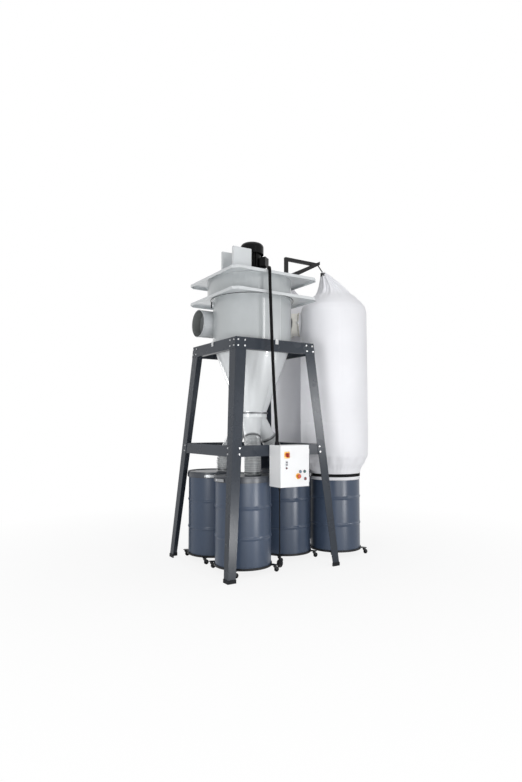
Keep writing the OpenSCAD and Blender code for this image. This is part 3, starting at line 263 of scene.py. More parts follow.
def close_tube():
    # the grid's first and last columns meet: they are merged, and the faces look outwards
    bpy.ops.object.mode_set(mode="EDIT")
    bpy.ops.mesh.select_all(action="SELECT")
    bpy.ops.mesh.remove_doubles(threshold=0.00002)
    bpy.ops.mesh.normals_make_consistent(inside=False)
    bpy.ops.object.mode_set(mode="OBJECT")
    bpy.ops.object.shade_smooth()


def sleeve_along(name, line, around, radius_at, reference):
    # a grid is wrapped round the line: its columns go round and its rows go along
    bpy.ops.object.select_all(action="DESELECT")
    bpy.ops.mesh.primitive_grid_add(x_subdivisions=around, y_subdivisions=len(line) - 1, size=1)
    tube = bpy.context.object
    tube.name = name
    for vertex in tube.data.vertices:
        turn = (vertex.co.x + 0.5) * 2 * math.pi
        row = round((vertex.co.y + 0.5) * (len(line) - 1))
        along = (line[min(row + 1, len(line) - 1)] - line[max(row - 1, 0)]).normalized()
        side = reference.cross(along).normalized()
        over = along.cross(side)
        vertex.co = line[row] + radius_at(row) * (math.cos(turn) * side + math.sin(turn) * over)
    close_tube()
    return tube


def evenly(line, step):
    # points at equal steps along the line
    spots, left = [line[0].copy()], step
    for a, b in zip(line, line[1:]):
        span = (b - a).length
        while left <= span:
            spots.append(a.lerp(b, left / span))
            left += step
        left -= span
    return spots


conduit_line = evenly(smooth_route(conduit_route, 12), rib_step)
conduit = sleeve_along("motor_conduit", conduit_line, 14,
                       lambda row: rib_radius if row % 2 else groove_radius,
                       Vector((1, 1, 1)).normalized())
conduit_plastic = matt_finish("conduit_plastic", (0.003, 0.003, 0.0035), 0.5, 700, 0.15)
conduit.data.materials.append(conduit_plastic)
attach(conduit, "stand")
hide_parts("motor_cable")

# Stand: folded steel legs and channel beams in dark slate powder coat, bolted with zinc hardware.
# Dark plastic caps shoe the leg ends, and pale lugs carry the barrel on the top beams.


def roughen(nodes, links, value, low, high):
    gloss = nodes.new("ShaderNodeMapRange")
    gloss.inputs["To Min"].default_value = low
    gloss.inputs["To Max"].default_value = high
    links.new(value, gloss.inputs["Value"])
    links.new(gloss.outputs["Result"], nodes["Principled BSDF"].inputs["Roughness"])


def powder_coat(name, colour, rough, patch=0.12, shine=0.5, lacquer=0.0):
    coat, nodes, links, shader = new_finish(name)
    shader.inputs["Specular IOR Level"].default_value = shine
    shader.inputs["Coat Weight"].default_value = lacquer
    shader.inputs["Coat Roughness"].default_value = 0.07
    where = nodes.new("ShaderNodeTexCoord").outputs["Object"]
    cloud = noise(nodes, links, where, 2.3, 8, 0.6)
    shade = ramp(nodes, links, cloud, 0.32, [c * (1 - patch) for c in colour],
                 0.7, [c * (1 + patch) for c in colour])
    # fine wood dust dulls small scuffs
    worn = nodes.new("ShaderNodeMapRange")
    worn.inputs["From Min"].default_value = 0.62
    worn.inputs["From Max"].default_value = 0.8
    worn.inputs["To Max"].default_value = 0.2
    links.new(noise(nodes, links, where, 21, 10, 0.7), worn.inputs["Value"])
    rub = nodes.new("ShaderNodeMix")
    rub.data_type = "RGBA"
    links.new(worn.outputs["Result"], rub.inputs["Factor"])
    links.new(shade, rub.inputs["A"])
    rub.inputs["B"].default_value = (*[0.97 * c + 0.012 for c in colour], 1)
    links.new(rub.outputs["Result"], shader.inputs["Base Color"])
    roughen(nodes, links, cloud, rough - 0.04, rough + 0.05)
    emboss(nodes, links, noise(nodes, links, where, 420), 0.12, 0.0005)
    return coat


def bright_metal(name, colour, rough, streak):
    metal, nodes, links, shader = new_finish(name)
    shader.inputs["Metallic"].default_value = 1.0
    where = nodes.new("ShaderNodeTexCoord")
    turn = nodes.new("ShaderNodeMapping")
    turn.inputs["Scale"].default_value = streak
    links.new(where.outputs["Object"], turn.inputs["Vector"])
    grain = noise(nodes, links, turn.outputs["Vector"], 60, 6)
    links.new(ramp(nodes, links, grain, 0, [c * 0.82 for c in colour], 1, [c * 1.12 for c in colour]),
              shader.inputs["Base Color"])
    roughen(nodes, links, grain, rough - 0.08, rough + 0.12)
    emboss(nodes, links, grain, 0.08, 0.0004)
    return metal


slate_coat = powder_coat("slate_coat", (0.034, 0.041, 0.053), 0.27, 0.1, 0.19)
dress("frame_legs", slate_coat)
dress("top_beams", slate_coat)
dress("mid_beams", slate_coat)
dress("foot_caps", matt_finish("cap_plastic", (0.02, 0.021, 0.024), 0.5, 600, 0.3))
zinc = bright_metal("zinc_hardware", (0.66, 0.67, 0.68), 0.34, (1, 1, 1))
dress("frame_bolts", zinc)
lug_paint = powder_coat("lug_paint", (0.62, 0.63, 0.64), 0.4)
dress("mounting_lugs", lug_paint)

# Cyclone: rolled sheet barrel, cone and inlet in light grey paint, welded along their seams.
# The barrel hangs in the stand; the cone closes with a clamp on the splitter.
cyclone_grey = powder_coat("cyclone_grey", (0.62, 0.645, 0.66), 0.3, 0.05, 0.5, 0.6)
for part in ("vortex_tube", "lower_plate", "top_plate", "upright_channels"):
    dress(part, cyclone_grey)
# A lighter copy of the cyclone grey on the cone and splitter: painted light, as from the white floor below.
cone_painted_light = powder_coat("cone_grey_painted_light", (0.72, 0.745, 0.76), 0.3, 0.05, 0.5, 0.6)
for part in ("cyclone_cone", "dust_splitter"):
    dress(part, cone_painted_light)
# A darker copy of the cyclone grey on the inlet spigot: painted shade.
spigot_grey_painted_shade = powder_coat("spigot_grey_painted_shade", (0.48, 0.50, 0.515), 0.25, 0.05)
dress("inlet_spigot", spigot_grey_painted_shade)
# A darker copy of the cyclone grey on the barrel and fan housing: painted shade.
barrel_painted_shade = powder_coat("barrel_grey_painted_shade", (0.45, 0.475, 0.485), 0.3, 0.05, 0.5, 0.6)
for part in ("cyclone_barrel", "fan_housing"):
    dress(part, barrel_painted_shade)
spigot_low, spigot_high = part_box("inlet_spigot")
inlet_radius, barrel_radius, barrel_foot = 0.146, 0.4345, 2.35


def paint_bore_shade(coat, middle, radius):
    # painted shade in the inlet's bore: inside the pipe's radius the coat is darker, up to the axis
    nodes, links = coat.node_tree.nodes, coat.node_tree.links
    shader = nodes["Principled BSDF"]
    where = nodes.new("ShaderNodeTexCoord")
    centred = nodes.new("ShaderNodeMapping")
    centred.inputs["Location"].default_value = (0, -middle.y, -middle.z)
    centred.inputs["Scale"].default_value = (0, 1, 1)
    links.new(where.outputs["Object"], centred.inputs["Vector"])
    reach = nodes.new("ShaderNodeVectorMath")
    reach.operation = "LENGTH"
    links.new(centred.outputs["Vector"], reach.inputs[0])
    inside = nodes.new("ShaderNodeMapRange")
    inside.inputs["From Min"].default_value = radius + 0.0002
    inside.inputs["From Max"].default_value = radius + 0.0010
    inside.inputs["To Min"].default_value = 1.0
    inside.inputs["To Max"].default_value = 0.0
    links.new(reach.outputs["Value"], inside.inputs["Value"])
    along = nodes.new("ShaderNodeSeparateXYZ")
    links.new(where.outputs["Object"], along.inputs["Vector"])
    ahead = nodes.new("ShaderNodeMath")
    ahead.operation = "LESS_THAN"
    ahead.inputs[1].default_value = about_axis(0, 0, 0).x
    links.new(along.outputs["X"], ahead.inputs[0])
    bore_shade_part = nodes.new("ShaderNodeMath")
    bore_shade_part.operation = "MULTIPLY"
    links.new(inside.outputs["Result"], bore_shade_part.inputs[0])
    links.new(ahead.outputs["Value"], bore_shade_part.inputs[1])
    bore_shade = nodes.new("ShaderNodeMix")
    bore_shade.data_type = "RGBA"
    unshaded_colour = shader.inputs["Base Color"].links[0].from_socket
    links.new(bore_shade_part.outputs["Value"], bore_shade.inputs["Factor"])
    links.new(unshaded_colour, bore_shade.inputs["A"])
    # the colour of the painted shade in the bore
    bore_shade.inputs["B"].default_value = (0.21, 0.225, 0.222, 1)
    links.new(bore_shade.outputs["Result"], shader.inputs["Base Color"])


# painted shade darkens the inlet's bore in the spigot and in the barrel
for coat in (spigot_grey_painted_shade, barrel_painted_shade):
    paint_bore_shade(coat, (Vector(spigot_low) + Vector(spigot_high)) / 2, inlet_radius)
clamp_zinc = bright_metal("clamp_zinc", (0.12, 0.125, 0.13), 0.4, (1, 1, 8))
dress("clamp_rings", clamp_zinc)
crisp_angle = math.radians(35)


def turned_to(at, facing):
    # the placement that sets a piece down at a point with its own Z along a direction
    return Matrix.Translation(at) @ Vector(facing).to_track_quat("Z", "Y").to_matrix().to_4x4()


def stepped(name, at, facing, radius, steps, sides=40):
    # a disc is drawn out and stepped in along its own axis, like a turned part
    bpy.ops.object.select_all(action="DESELECT")
    bpy.ops.mesh.primitive_circle_add(vertices=sides, radius=radius, fill_type="NGON")
    bpy.ops.object.mode_set(mode="EDIT")
    bpy.ops.mesh.select_all(action="SELECT")
    for inset, height in steps:
        if inset:
            bpy.ops.mesh.inset(thickness=inset)
        if height:
            bpy.ops.mesh.extrude_region_move(TRANSFORM_OT_translate={"value": (0, 0, height)})
    bpy.ops.mesh.select_all(action="SELECT")
    bpy.ops.mesh.normals_make_consistent(inside=False)
    bpy.ops.object.mode_set(mode="OBJECT")
    turned = bpy.context.object
    turned.name = name
    turned.matrix_world = turned_to(at, facing)
    bpy.ops.object.transform_apply(location=True, rotation=True, scale=True)
    bpy.ops.object.shade_smooth_by_angle(angle=crisp_angle)
    return turned


def fasteners(name, spots, radius, height, sides, finish, body):
    # a screw head with an eased rim is drawn at each spot, then all are joined
    rim = ((0, height * 0.8), (radius * 0.16, height * 0.2))
    heads = [stepped(name, at, facing, radius, rim, sides) for at, facing in spots]
    bpy.ops.object.select_all(action="DESELECT")
    for head in heads:
        head.select_set(True)
    bpy.context.view_layer.objects.active = heads[0]
    if len(heads) > 1:
        bpy.ops.object.join()
    heads[0].name = name
    heads[0].data.materials.append(finish)
    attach(heads[0], body)


screw_circle, seal_circle, weld_radius = 0.4465, 0.4592, 0.0022
ring_spots = [(about_axis(screw_circle * math.cos(t), screw_circle * math.sin(t), 2.842), (0, 0, -1))
              for t in [math.radians(7.5 + 15 * i) for i in range(24)]]
fasteners("barrel_ring_screws", ring_spots, 0.0065, 0.005, 6, zinc, "stand")
full_turn = [math.radians(3 * i) for i in range(121)]
plate_seal = lead("plate_seal", [about_axis(seal_circle * math.cos(t), seal_circle * math.sin(t), 2.8432)
                                 for t in full_turn], 0.0026)
plate_seal.data.materials.append(cord_rubber)
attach(plate_seal, "stand")
seam_turn = math.radians(-78)
barrel_seam = lead("barrel_weld", [about_axis(barrel_radius * math.cos(seam_turn),
                                              barrel_radius * math.sin(seam_turn), z)
                                   for z in (2.352, 2.5, 2.7, 2.84)], weld_radius)
cone_seam = lead("cone_weld", [about_axis(r * math.cos(seam_turn), r * math.sin(seam_turn), z)
                               for r, z in ((barrel_radius, 2.349), (0.3, 1.985), (0.1655, 1.622))],
                 weld_radius)
girth_seam = lead("girth_weld", [about_axis(barrel_radius * math.cos(t), barrel_radius * math.sin(t),
                                            barrel_foot) for t in full_turn], weld_radius)
for seam in (barrel_seam, cone_seam, girth_seam):
    seam.data.materials.append(cyclone_grey)
    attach(seam, "stand")

# Sampling port: a short capped socket of painted steel, welded high on the barrel's left.
# A dark rubber ring seals its cap, and three zinc screws hold it.
port_turn = math.radians(160)
port_way = Vector((math.cos(port_turn), math.sin(port_turn), 0))
port_at = about_axis(barrel_radius * port_way.x, barrel_radius * port_way.y, 2.786)
port_socket = stepped("port_socket", port_at, port_way, 0.033, ((0, 0.016), (0.003, 0.0)))
port_socket.data.materials.append(cyclone_grey)
port_ring = stepped("port_ring", port_at + port_way * 0.016, port_way, 0.034,
                    ((0, 0.006), (0.003, 0.002), (0.006, -0.003)))
port_ring.data.materials.append(cord_rubber)
for piece, slot in ((port_socket, "cyclone_paint"), (port_ring, "black_rubber")):
    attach(piece, "stand")
port_side = Vector((-port_way.y, port_way.x, 0))
port_face = port_at + port_way * 0.021
port_spots = [(port_face + 0.017 * (math.cos(t) * port_side + Vector((0, 0, math.sin(t)))), port_way)
              for t in (0.5, 2.6, 4.7)]
fasteners("port_screws", port_spots, 0.004, 0.003, 16, zinc, "stand")

# Hoses: clear ribbed plastic dust hoses, pushed over the splitter legs and the lid spigots.
# A spiral of hard plastic gives each one its ribs, and zinc clamps hold its ends.
leg_slant = math.radians(32)
leg_out, leg_mouth = 0.200, 1.350
hose_knee, hose_bend = 0.283, 0.180
hose_turn = hose_bend * math.tan(leg_slant / 2)
hose_side = leg_out + hose_knee * math.sin(leg_slant)
knee_z = leg_mouth - hose_knee * math.cos(leg_slant)
hose_foot = 0.955
hose_gap = 0.004
hose_run = (knee_z - hose_turn - hose_foot, hose_bend * leg_slant, hose_knee - hose_turn - hose_gap)
hose_ribs, rows_per_rib = 21, 8
hose_core, rib_height = 0.0856, 0.0029
hose_rows = hose_ribs * rows_per_rib


def hose_place(d, turn):
    # upright from the lid, then round the bend, then along the splitter's leg
    a, b, c = hose_run
    if d < a:
        out, z = hose_side, hose_foot + d
    elif d < a + b:
        t = (d - a) / hose_bend
        out, z = hose_side - hose_bend * (1 - math.cos(t)), hose_foot + a + hose_bend * math.sin(t)
    else:
        s = c - (d - a - b) + hose_gap
        out, z = leg_out + s * math.sin(leg_slant), leg_mouth - s * math.cos(leg_slant)
    return about_axis(out * math.cos(turn), out * math.sin(turn), z)


clear_hose, nodes, links, shader = new_finish("clear_hose_plastic")
shader.inputs["Transmission Weight"].default_value = 0.4
shader.inputs["IOR"].default_value = 1.45
where = nodes.new("ShaderNodeTexCoord")
film = noise(nodes, links, where.outputs["Object"], 18, 8)
dusty = ramp(nodes, links, film, 0.35, (0.66, 0.68, 0.69), 0.75, (0.80, 0.82, 0.83))
# darker bands round the hose, one at each rib: painted shade that brings out the ribs
rib_shade_wave = nodes.new("ShaderNodeTexWave")
rib_shade_wave.bands_direction = "Y"
rib_shade_wave.inputs["Scale"].default_value = hose_ribs * math.pi / 10
links.new(where.outputs["UV"], rib_shade_wave.inputs["Vector"])
rib_shaded = nodes.new("ShaderNodeMix")
rib_shaded.data_type = "RGBA"
rib_shaded.blend_type = "MULTIPLY"
links.new(rib_shade_wave.outputs["Fac"], rib_shaded.inputs["Factor"])
links.new(dusty, rib_shaded.inputs["A"])
rib_shaded.inputs["B"].default_value = (0.80, 0.81, 0.82, 1)
links.new(rib_shaded.outputs["Result"], shader.inputs["Base Color"])
roughen(nodes, links, film, 0.14, 0.28)


def hose_radius(row):
    rib = 0.5 - 0.5 * math.cos(row / rows_per_rib * 2 * math.pi)
    return hose_core + rib_height * rib ** 1.5


def thicken(piece, thickness, offset):
    bpy.ops.object.modifier_add(type="SOLIDIFY")
    piece.modifiers[-1].thickness = thickness
    piece.modifiers[-1].offset = offset
    bpy.ops.object.modifier_apply(modifier=piece.modifiers[-1].name)


for number, degrees in enumerate((240, 120, 0)):
    turn = math.radians(degrees)
    hose_line = [hose_place(sum(hose_run) * i / hose_rows, turn) for i in range(hose_rows + 1)]
    hose = sleeve_along("dust_hose_%d" % (number + 1), hose_line, 48, hose_radius,
                        Vector((-math.sin(turn), math.cos(turn), 0)))
    thicken(hose, 0.0025, -1)
    hose.data.materials.append(clear_hose)
    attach(hose, "stand")
    if number == 0:
        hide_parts("dust_hoses")

# Motor and fan: a black cast motor stands on the top plate and turns the impeller below it.
# The outlet duct beside the fan is warm grey sheet with an arm to each filter bag.
motor_black = powder_coat("motor_black", (0.003, 0.0033, 0.0036), 0.26, 0.12, 0.13)
for part in ("motor_housing", "motor_end_shields", "fan_cowl", "terminal_box"):
    dress(part, motor_black)
dress("impeller", powder_coat("impeller_grey", (0.17, 0.185, 0.2), 0.4))
dress("motor_shaft", bright_metal("ground_shaft", (0.56, 0.57, 0.58), 0.26, (1, 1, 14)))
dress("cooling_fan", matt_finish("fan_plastic", (0.012, 0.012, 0.013), 0.45, 700, 0.2))
dress("outlet_duct", powder_coat("duct_grey", (0.84, 0.82, 0.76), 0.4, 0.06))
bracket_black = powder_coat("bracket_black", (0.007, 0.007, 0.008), 0.4, 0.12, 0.25)
dress("bag_brackets", bracket_black)

# Filter bags: needle-felt cloth tubes sewn from panels, filled by the clean air.
# Each is gathered to a rope at the top, and cinched under its drum's rim by a strap.
bag_spots = ((1.030, -0.170, "front"), (1.030, 0.660, "rear"))
bracket_lines = (-0.170, 0.470)
neck_shift, neck_follow = -0.148, 0.6
bag_foot, bag_top, bag_radius, bag_limit = 0.852, 3.268, 0.390, 0.3935
bag_rows = [(bag_foot, 0.2945, 0), (0.874, 0.2915, 0), (0.884, 0.2893, 0), (0.922, 0.2893, 0),
            (0.936, 0.2945, 0), (0.950, 0.2985, 0), (0.972, 0.303, 0), (1.05, 0.348, 0),
            (1.13, 0.384, 0), (1.25, 0.389, 0), (1.5, bag_radius, 0), (2.2, bag_radius, 0),
            (2.79, 0.388, 0), (2.85, 0.374, 0), (2.89, 0.345, 0), (2.95, 0.292, 0),
            (3.02, 0.210, 0.02), (3.07, 0.172, 0.12), (3.135, 0.128, 0.33), (3.205, 0.077, 0.65),
            (bag_top, 0.026, 1)]


def bag_outline(z):
    # the radius at a height, and the share of the lean towards the bracket there
    for (z0, r0, s0), (z1, r1, s1) in zip(bag_rows, bag_rows[1:]):
        if z <= z1:
            u = max(0, (z - z0) / (z1 - z0))
            u = u * u * (3 - 2 * u) * 0.35 + u * 0.65
            return r0 + (r1 - r0) * u, s0 + (s1 - s0) * u
    return bag_rows[-1][1:]


def near(value, middle, reach):
    # one at the middle, falling softly to nought on both sides
    return math.exp(-((value - middle) / reach) ** 2)


felt, nodes, links, shader = new_finish("filter_felt")
shader.inputs["Roughness"].default_value = 0.92
shader.inputs["Specular IOR Level"].default_value = 0.2
shader.inputs["Sheen Weight"].default_value = 0.15
where = nodes.new("ShaderNodeTexCoord")
cloud = noise(nodes, links, where.outputs["Object"], 1.7, 7)
links.new(ramp(nodes, links, cloud, 0.3, (0.815, 0.818, 0.85), 0.72, (0.875, 0.878, 0.91)),
          shader.inputs["Base Color"])
weave_map = nodes.new("ShaderNodeMapping")
weave_map.inputs["Scale"].default_value = (2.45, 2.7, 1)
links.new(where.outputs["UV"], weave_map.inputs["Vector"])
weft = nodes.new("ShaderNodeTexWave")
weft.bands_direction = "X"
weft.inputs["Scale"].default_value = 90
weft.inputs["Distortion"].default_value = 1.2
links.new(weave_map.outputs["Vector"], weft.inputs["Vector"])
warp = nodes.new("ShaderNodeTexWave")
warp.bands_direction = "Y"
warp.inputs["Scale"].default_value = 90
warp.inputs["Distortion"].default_value = 1.2
links.new(weave_map.outputs["Vector"], warp.inputs["Vector"])
cross = nodes.new("ShaderNodeMath")
cross.operation = "ADD"
links.new(weft.outputs["Fac"], cross.inputs[0])
links.new(warp.outputs["Fac"], cross.inputs[1])
emboss(nodes, links, cross.outputs[0], 0.18, 0.0006)

bag_columns, bag_levels = 144, 168
for (bag_x, bag_y, side), bracket_y in zip(bag_spots, bracket_lines):
    lean = Vector((neck_shift, neck_follow * (bracket_y - bag_y), 0))
    bpy.ops.object.select_all(action="DESELECT")
    bpy.ops.mesh.primitive_grid_add(x_subdivisions=bag_columns, y_subdivisions=bag_levels, size=1)
    bag = bpy.context.object
    bag.name = "filter_bag_%s_cloth" % side
    phase = 0.0 if side == "front" else 1.9
    for vertex in bag.data.vertices:
        turn = (vertex.co.x + 0.5) * 2 * math.pi
        up = vertex.co.y + 0.5
        z = bag_foot + (bag_top - bag_foot) * up
        radius, share = bag_outline(z)
        # folds gather at the neck, and small puckers stand over the strap
        gather = min(1.0, max(0.0, (z - 2.93) / 0.12))
        crease = abs(math.sin(5.5 * turn + phase + 0.25 * math.sin(2 * turn))) ** 0.7
        fold = -0.16 * gather * radius * crease
        fold += 0.05 * gather * radius * math.sin(29 * turn + 2.1 + phase)
        pucker = 0.0032 * near(z, 0.985, 0.06) * math.sin(46 * turn + phase)
        pucker += 0.007 * near(z, 1.07, 0.08) * math.sin(15 * turn + 1.3 * math.sin(3 * turn + phase))
        # slow billows fill the middle, and the panels' seams draw the cloth in
        billow = 0.0025 * math.sin(3 * turn + 2.3 * z + phase) * math.sin(1.9 * z + 0.4)
        billow += 0.0016 * math.sin(7 * turn - 3.1 * z + phase)
        billow *= min(1, max(0, (z - 1.05) / 0.3)) * min(1, max(0, (2.95 - z) / 0.3))
        seam = -0.0030 * near(z, 1.500, 0.010) + 0.0012 * near(z, 1.522, 0.010)
        seam -= 0.0035 * near(z, 3.010, 0.009)
        stitch = math.atan2(math.sin(turn + 2.05), math.cos(turn + 2.05)) * radius
        seam -= 0.0028 * near(stitch, 0, 0.010) * min(1, max(0, (z - 0.97) / 0.05))
        radius = min(radius + fold + pucker + billow + seam, bag_limit)
        vertex.co = about_axis(bag_x, bag_y, z) + lean * share \
            + Vector((radius * math.cos(turn), radius * math.sin(turn), 0))
    close_tube()
    thicken(bag, 0.0022, -1)
    bag.data.materials.append(felt)
    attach(bag, "stand")
    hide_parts("filter_bag_%s" % side)

# Bag sleeves: short sleeves of the same felt, sewn to the bags' sides.
# Each is drawn over the end of one of the duct's arms.
duct_start, duct_height = Vector((0.600, 0.245, 0)), 2.675
for bag_x, bag_y, side in bag_spots:
    way = (duct_start - Vector((bag_x, bag_y, 0))).normalized()
    across = Vector((-way.y, way.x, 0))
    bpy.ops.object.select_all(action="DESELECT")
    bpy.ops.mesh.primitive_grid_add(x_subdivisions=96, y_subdivisions=24, size=1)
    sleeve = bpy.context.object
    sleeve.name = "bag_sleeve_%s" % side
    for vertex in sleeve.data.vertices:
        turn = (vertex.co.x + 0.5) * 2 * math.pi
        radius = 0.1382 + 0.0012 * math.sin(26 * turn) * (1 - abs(2 * vertex.co.y))
        start = math.sqrt(bag_radius ** 2 - (radius * math.sin(turn)) ** 2) - 0.002
        reach = start + (0.420 - start) * (vertex.co.y + 0.5)
        vertex.co = about_axis(bag_x, bag_y, duct_height) + way * reach \
            + radius * (math.cos(turn) * Vector((0, 0, 1)) + math.sin(turn) * across)
    close_tube()
    thicken(sleeve, 0.002, -1)
    sleeve.data.materials.append(felt)
    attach(sleeve, "stand")

# Bag bands: black webbing straps cinch each bag under its drum's rim.
# Cream ones hold each sleeve on its arm, and a bright cam buckle closes every strap.
strap = matt_finish("strap_webbing", (0.006, 0.006, 0.007), 0.7, 900, 0.5)
cream_strap = matt_finish("cream_webbing", (0.58, 0.56, 0.5), 0.8, 900, 0.5)
buckle_thick, buckle_length = 0.003, 0.026


def ease_edges(piece, width, segments):
    bpy.ops.object.modifier_add(type="BEVEL")
    piece.modifiers[-1].width = width
    piece.modifiers[-1].segments = segments
    bpy.ops.object.modifier_apply(modifier=piece.modifiers[-1].name)


def cinch(name, at, facing, radius, width, buckle_turn, cloth):
    bpy.ops.object.select_all(action="DESELECT")
    bpy.ops.mesh.primitive_cylinder_add(vertices=128, radius=radius, depth=width, end_fill_type="NOTHING")
    band = bpy.context.object
    band.name = name
    thicken(band, 0.0022, 1)
    ease_edges(band, 0.0007, 2)
    band.matrix_world = turned_to(at, facing)
    pose = band.matrix_world.copy()
    bpy.ops.object.transform_apply(location=True, rotation=True, scale=True)
    bpy.ops.object.shade_smooth_by_angle(angle=crisp_angle)
    band.data.materials.append(cloth)
    # the buckle: a plate with a raised lever, bent from one strip
    bpy.ops.object.select_all(action="DESELECT")
    bpy.ops.mesh.primitive_cube_add(size=1)
    buckle = bpy.context.object
    buckle.name = name + "_buckle"
    buckle.scale = (buckle_thick, buckle_length, width * 1.1)
    bpy.ops.object.transform_apply(location=False, rotation=False, scale=True)
    bpy.ops.object.mode_set(mode="EDIT")
    bpy.ops.mesh.select_mode(type="FACE")
    bpy.ops.mesh.select_all(action="DESELECT")
    bpy.ops.object.mode_set(mode="OBJECT")
    for face in buckle.data.polygons:
        face.select = face.normal.x > 0.9
    bpy.ops.object.mode_set(mode="EDIT")
    bpy.ops.mesh.inset(thickness=0.003)
    bpy.ops.mesh.extrude_region_move(TRANSFORM_OT_translate={"value": (buckle_thick, 0, 0)})
    bpy.ops.transform.resize(value=(1, 0.8, 0.9))
    bpy.ops.object.mode_set(mode="OBJECT")
    ease_edges(buckle, 0.0008, 2)
    seat = Matrix.Translation((radius + 0.0038, 0, 0))
    buckle.matrix_world = pose @ Matrix.Rotation(buckle_turn, 4, "Z") @ seat
    bpy.ops.object.transform_apply(location=True, rotation=True, scale=True)
    buckle.data.materials.append(zinc)
    for piece in (band, buckle):
        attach(piece, "stand")
    return band


for bag_x, bag_y, side in bag_spots:
    hem_band = cinch("hem_band_%s" % side, about_axis(bag_x, bag_y, 0.903), (0, 0, 1), 0.2899, 0.034,
                     math.radians(-88), strap)
    if side == "front":
        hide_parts("bag_bands")
    way = (duct_start - Vector((bag_x, bag_y, 0))).normalized()
    cinch("sleeve_band_%s" % side, about_axis(bag_x, bag_y, duct_height) + way * 0.407, way, 0.1396, 0.018,
          0.0, cream_strap)

# Bag ropes: black braided cord from each bracket's tip to the gathered neck of its bag.
# A lashing of thinner cord is wound three and a half times round each neck.
for (bag_x, bag_y, side), bracket_y in zip(bag_spots, bracket_lines):
    neck = about_axis(bag_x + neck_shift, bag_y + neck_follow * (bracket_y - bag_y), 3.256)
    hook = about_axis(0.806, bracket_y, 3.3375)
    rope_line = [neck.lerp(hook, i / 8) for i in range(9)]
    rope = lead("bag_rope_%s" % side, rope_line, 0.0065)
    knot = lead("neck_lashing_%s" % side, [
        neck + Vector((0.029 * math.cos(t), 0.029 * math.sin(t), 0.004 - 0.0018 * t))
        for t in [math.radians(15 * i) for i in range(85)]], 0.0042)
    for piece in (rope, knot):
        piece.data.materials.append(cord_rubber)
        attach(piece, "stand")
    if side == "front":
        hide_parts("bag_ropes")

# Control box: folded sheet in off-white powder coat with a hinged door.
# The door carries the isolator, hour meter, lamp, start and stop buttons and the emergency stop.
box_white = powder_coat("box_white", (0.80, 0.81, 0.82), 0.4, 0.03)
dress("enclosure_box", box_white)
dress("enclosure_door", box_white)
dress("switchgear", matt_finish("switchgear_plastic", (0.3, 0.31, 0.32), 0.45, 800, 0.2))


def gloss_plastic(name, colour, rough):
    plastic, nodes, links, shader = new_finish(name)
    shader.inputs["Coat Weight"].default_value = 0.1
    where = nodes.new("ShaderNodeTexCoord")
    flow = noise(nodes, links, where.outputs["Object"], 60, 5)
    links.new(ramp(nodes, links, flow, 0.3, [c * 0.88 for c in colour], 0.75, [c * 1.1 for c in colour]),
              shader.inputs["Base Color"])
    roughen(nodes, links, flow, rough - 0.05, rough + 0.1)
    return plastic


signal_red = gloss_plastic("signal_red", (0.56, 0.06, 0.014), 0.42)
dress("isolator_handle", gloss_plastic("handle_red", (0.36, 0.03, 0.012), 0.42))
dress("estop_button", signal_red)
dress("stop_button", gloss_plastic("stop_red", (0.22, 0.022, 0.02), 0.4))
dress("start_button", gloss_plastic("start_green", (0.02, 0.11, 0.10), 0.3))
signal_yellow = gloss_plastic("signal_yellow", (0.82, 0.44, 0.04), 0.32)
door_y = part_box("enclosure_door")[0][1]
door_out = (0, -1, 0)


def on_door(x, z):
    return Vector((axis_x + x, door_y, z))


def door_plate(name, x, z, width, height, thick, finish):
    bpy.ops.object.select_all(action="DESELECT")
    bpy.ops.mesh.primitive_cube_add(size=1, location=on_door(x, z) - Vector((0, thick / 2, 0)))
    plate = bpy.context.object
    plate.name = name
    plate.scale = (width, thick, height)
    bpy.ops.object.transform_apply(location=True, rotation=True, scale=True)
    ease_edges(plate, 0.0015, 3)
    bpy.ops.object.shade_smooth_by_angle(angle=crisp_angle)
    plate.data.materials.append(finish)
    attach(plate, "door")
    return plate


def door_ring(name, x, z, outer, inner, thick, finish):
    bpy.ops.object.select_all(action="DESELECT")
    bpy.ops.mesh.primitive_circle_add(vertices=48, radius=outer, fill_type="NGON")
    bpy.ops.object.mode_set(mode="EDIT")
    bpy.ops.mesh.select_all(action="SELECT")
    bpy.ops.mesh.inset(thickness=outer - inner)
    bpy.ops.mesh.delete(type="FACE")
    bpy.ops.object.mode_set(mode="OBJECT")
    ring = bpy.context.object
    ring.name = name
    thicken(ring, thick, 1)
    ease_edges(ring, 0.0008, 2)
    ring.matrix_world = turned_to(on_door(x, z), door_out)
    bpy.ops.object.transform_apply(location=True, rotation=True, scale=True)
    bpy.ops.object.shade_smooth_by_angle(angle=crisp_angle)
    ring.data.materials.append(finish)
    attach(ring, "door")


isolator_x, isolator_z, isolator_thick = -0.075, 1.176, 0.004
isolator_plate = door_plate("isolator_plate", isolator_x, isolator_z, 0.066, 0.066, isolator_thick,
                            signal_yellow)
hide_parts("door_fittings")
screw_reach, screw_lift = 0.027, Vector((0, -isolator_thick, 0))
screw_spots = [(on_door(isolator_x + a * screw_reach, isolator_z + b * screw_reach) + screw_lift, door_out)
               for a in (-1, 1) for b in (-1, 1)]
fasteners("isolator_screws", screw_spots, 0.0028, 0.0018, 16, zinc, "door")
door_ring("estop_ring", 0.060, 0.966, 0.030, 0.0086, 0.004, signal_yellow)
bezel_chrome = bright_metal("bezel_chrome", (0.14, 0.145, 0.155), 0.4, (1, 1, 1))
door_ring("start_bezel", 0.137, 1.010, 0.016, 0.0115, 0.004, bezel_chrome)
door_ring("stop_bezel", 0.146, 0.938, 0.016, 0.0115, 0.004, bezel_chrome)
door_ring("lamp_bezel", 0.085, 1.010, 0.016, 0.0112, 0.004, bezel_chrome)
lamp_lens = stepped("lamp_lens", on_door(0.085, 1.010), door_out, 0.011,
                    ((0, 0.012), (0.003, 0.003), (0.004, 0.001)))
lamp_lens.data.materials.append(gloss_plastic("lamp_blue", (0.16, 0.24, 0.33), 0.15))
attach(lamp_lens, "door")

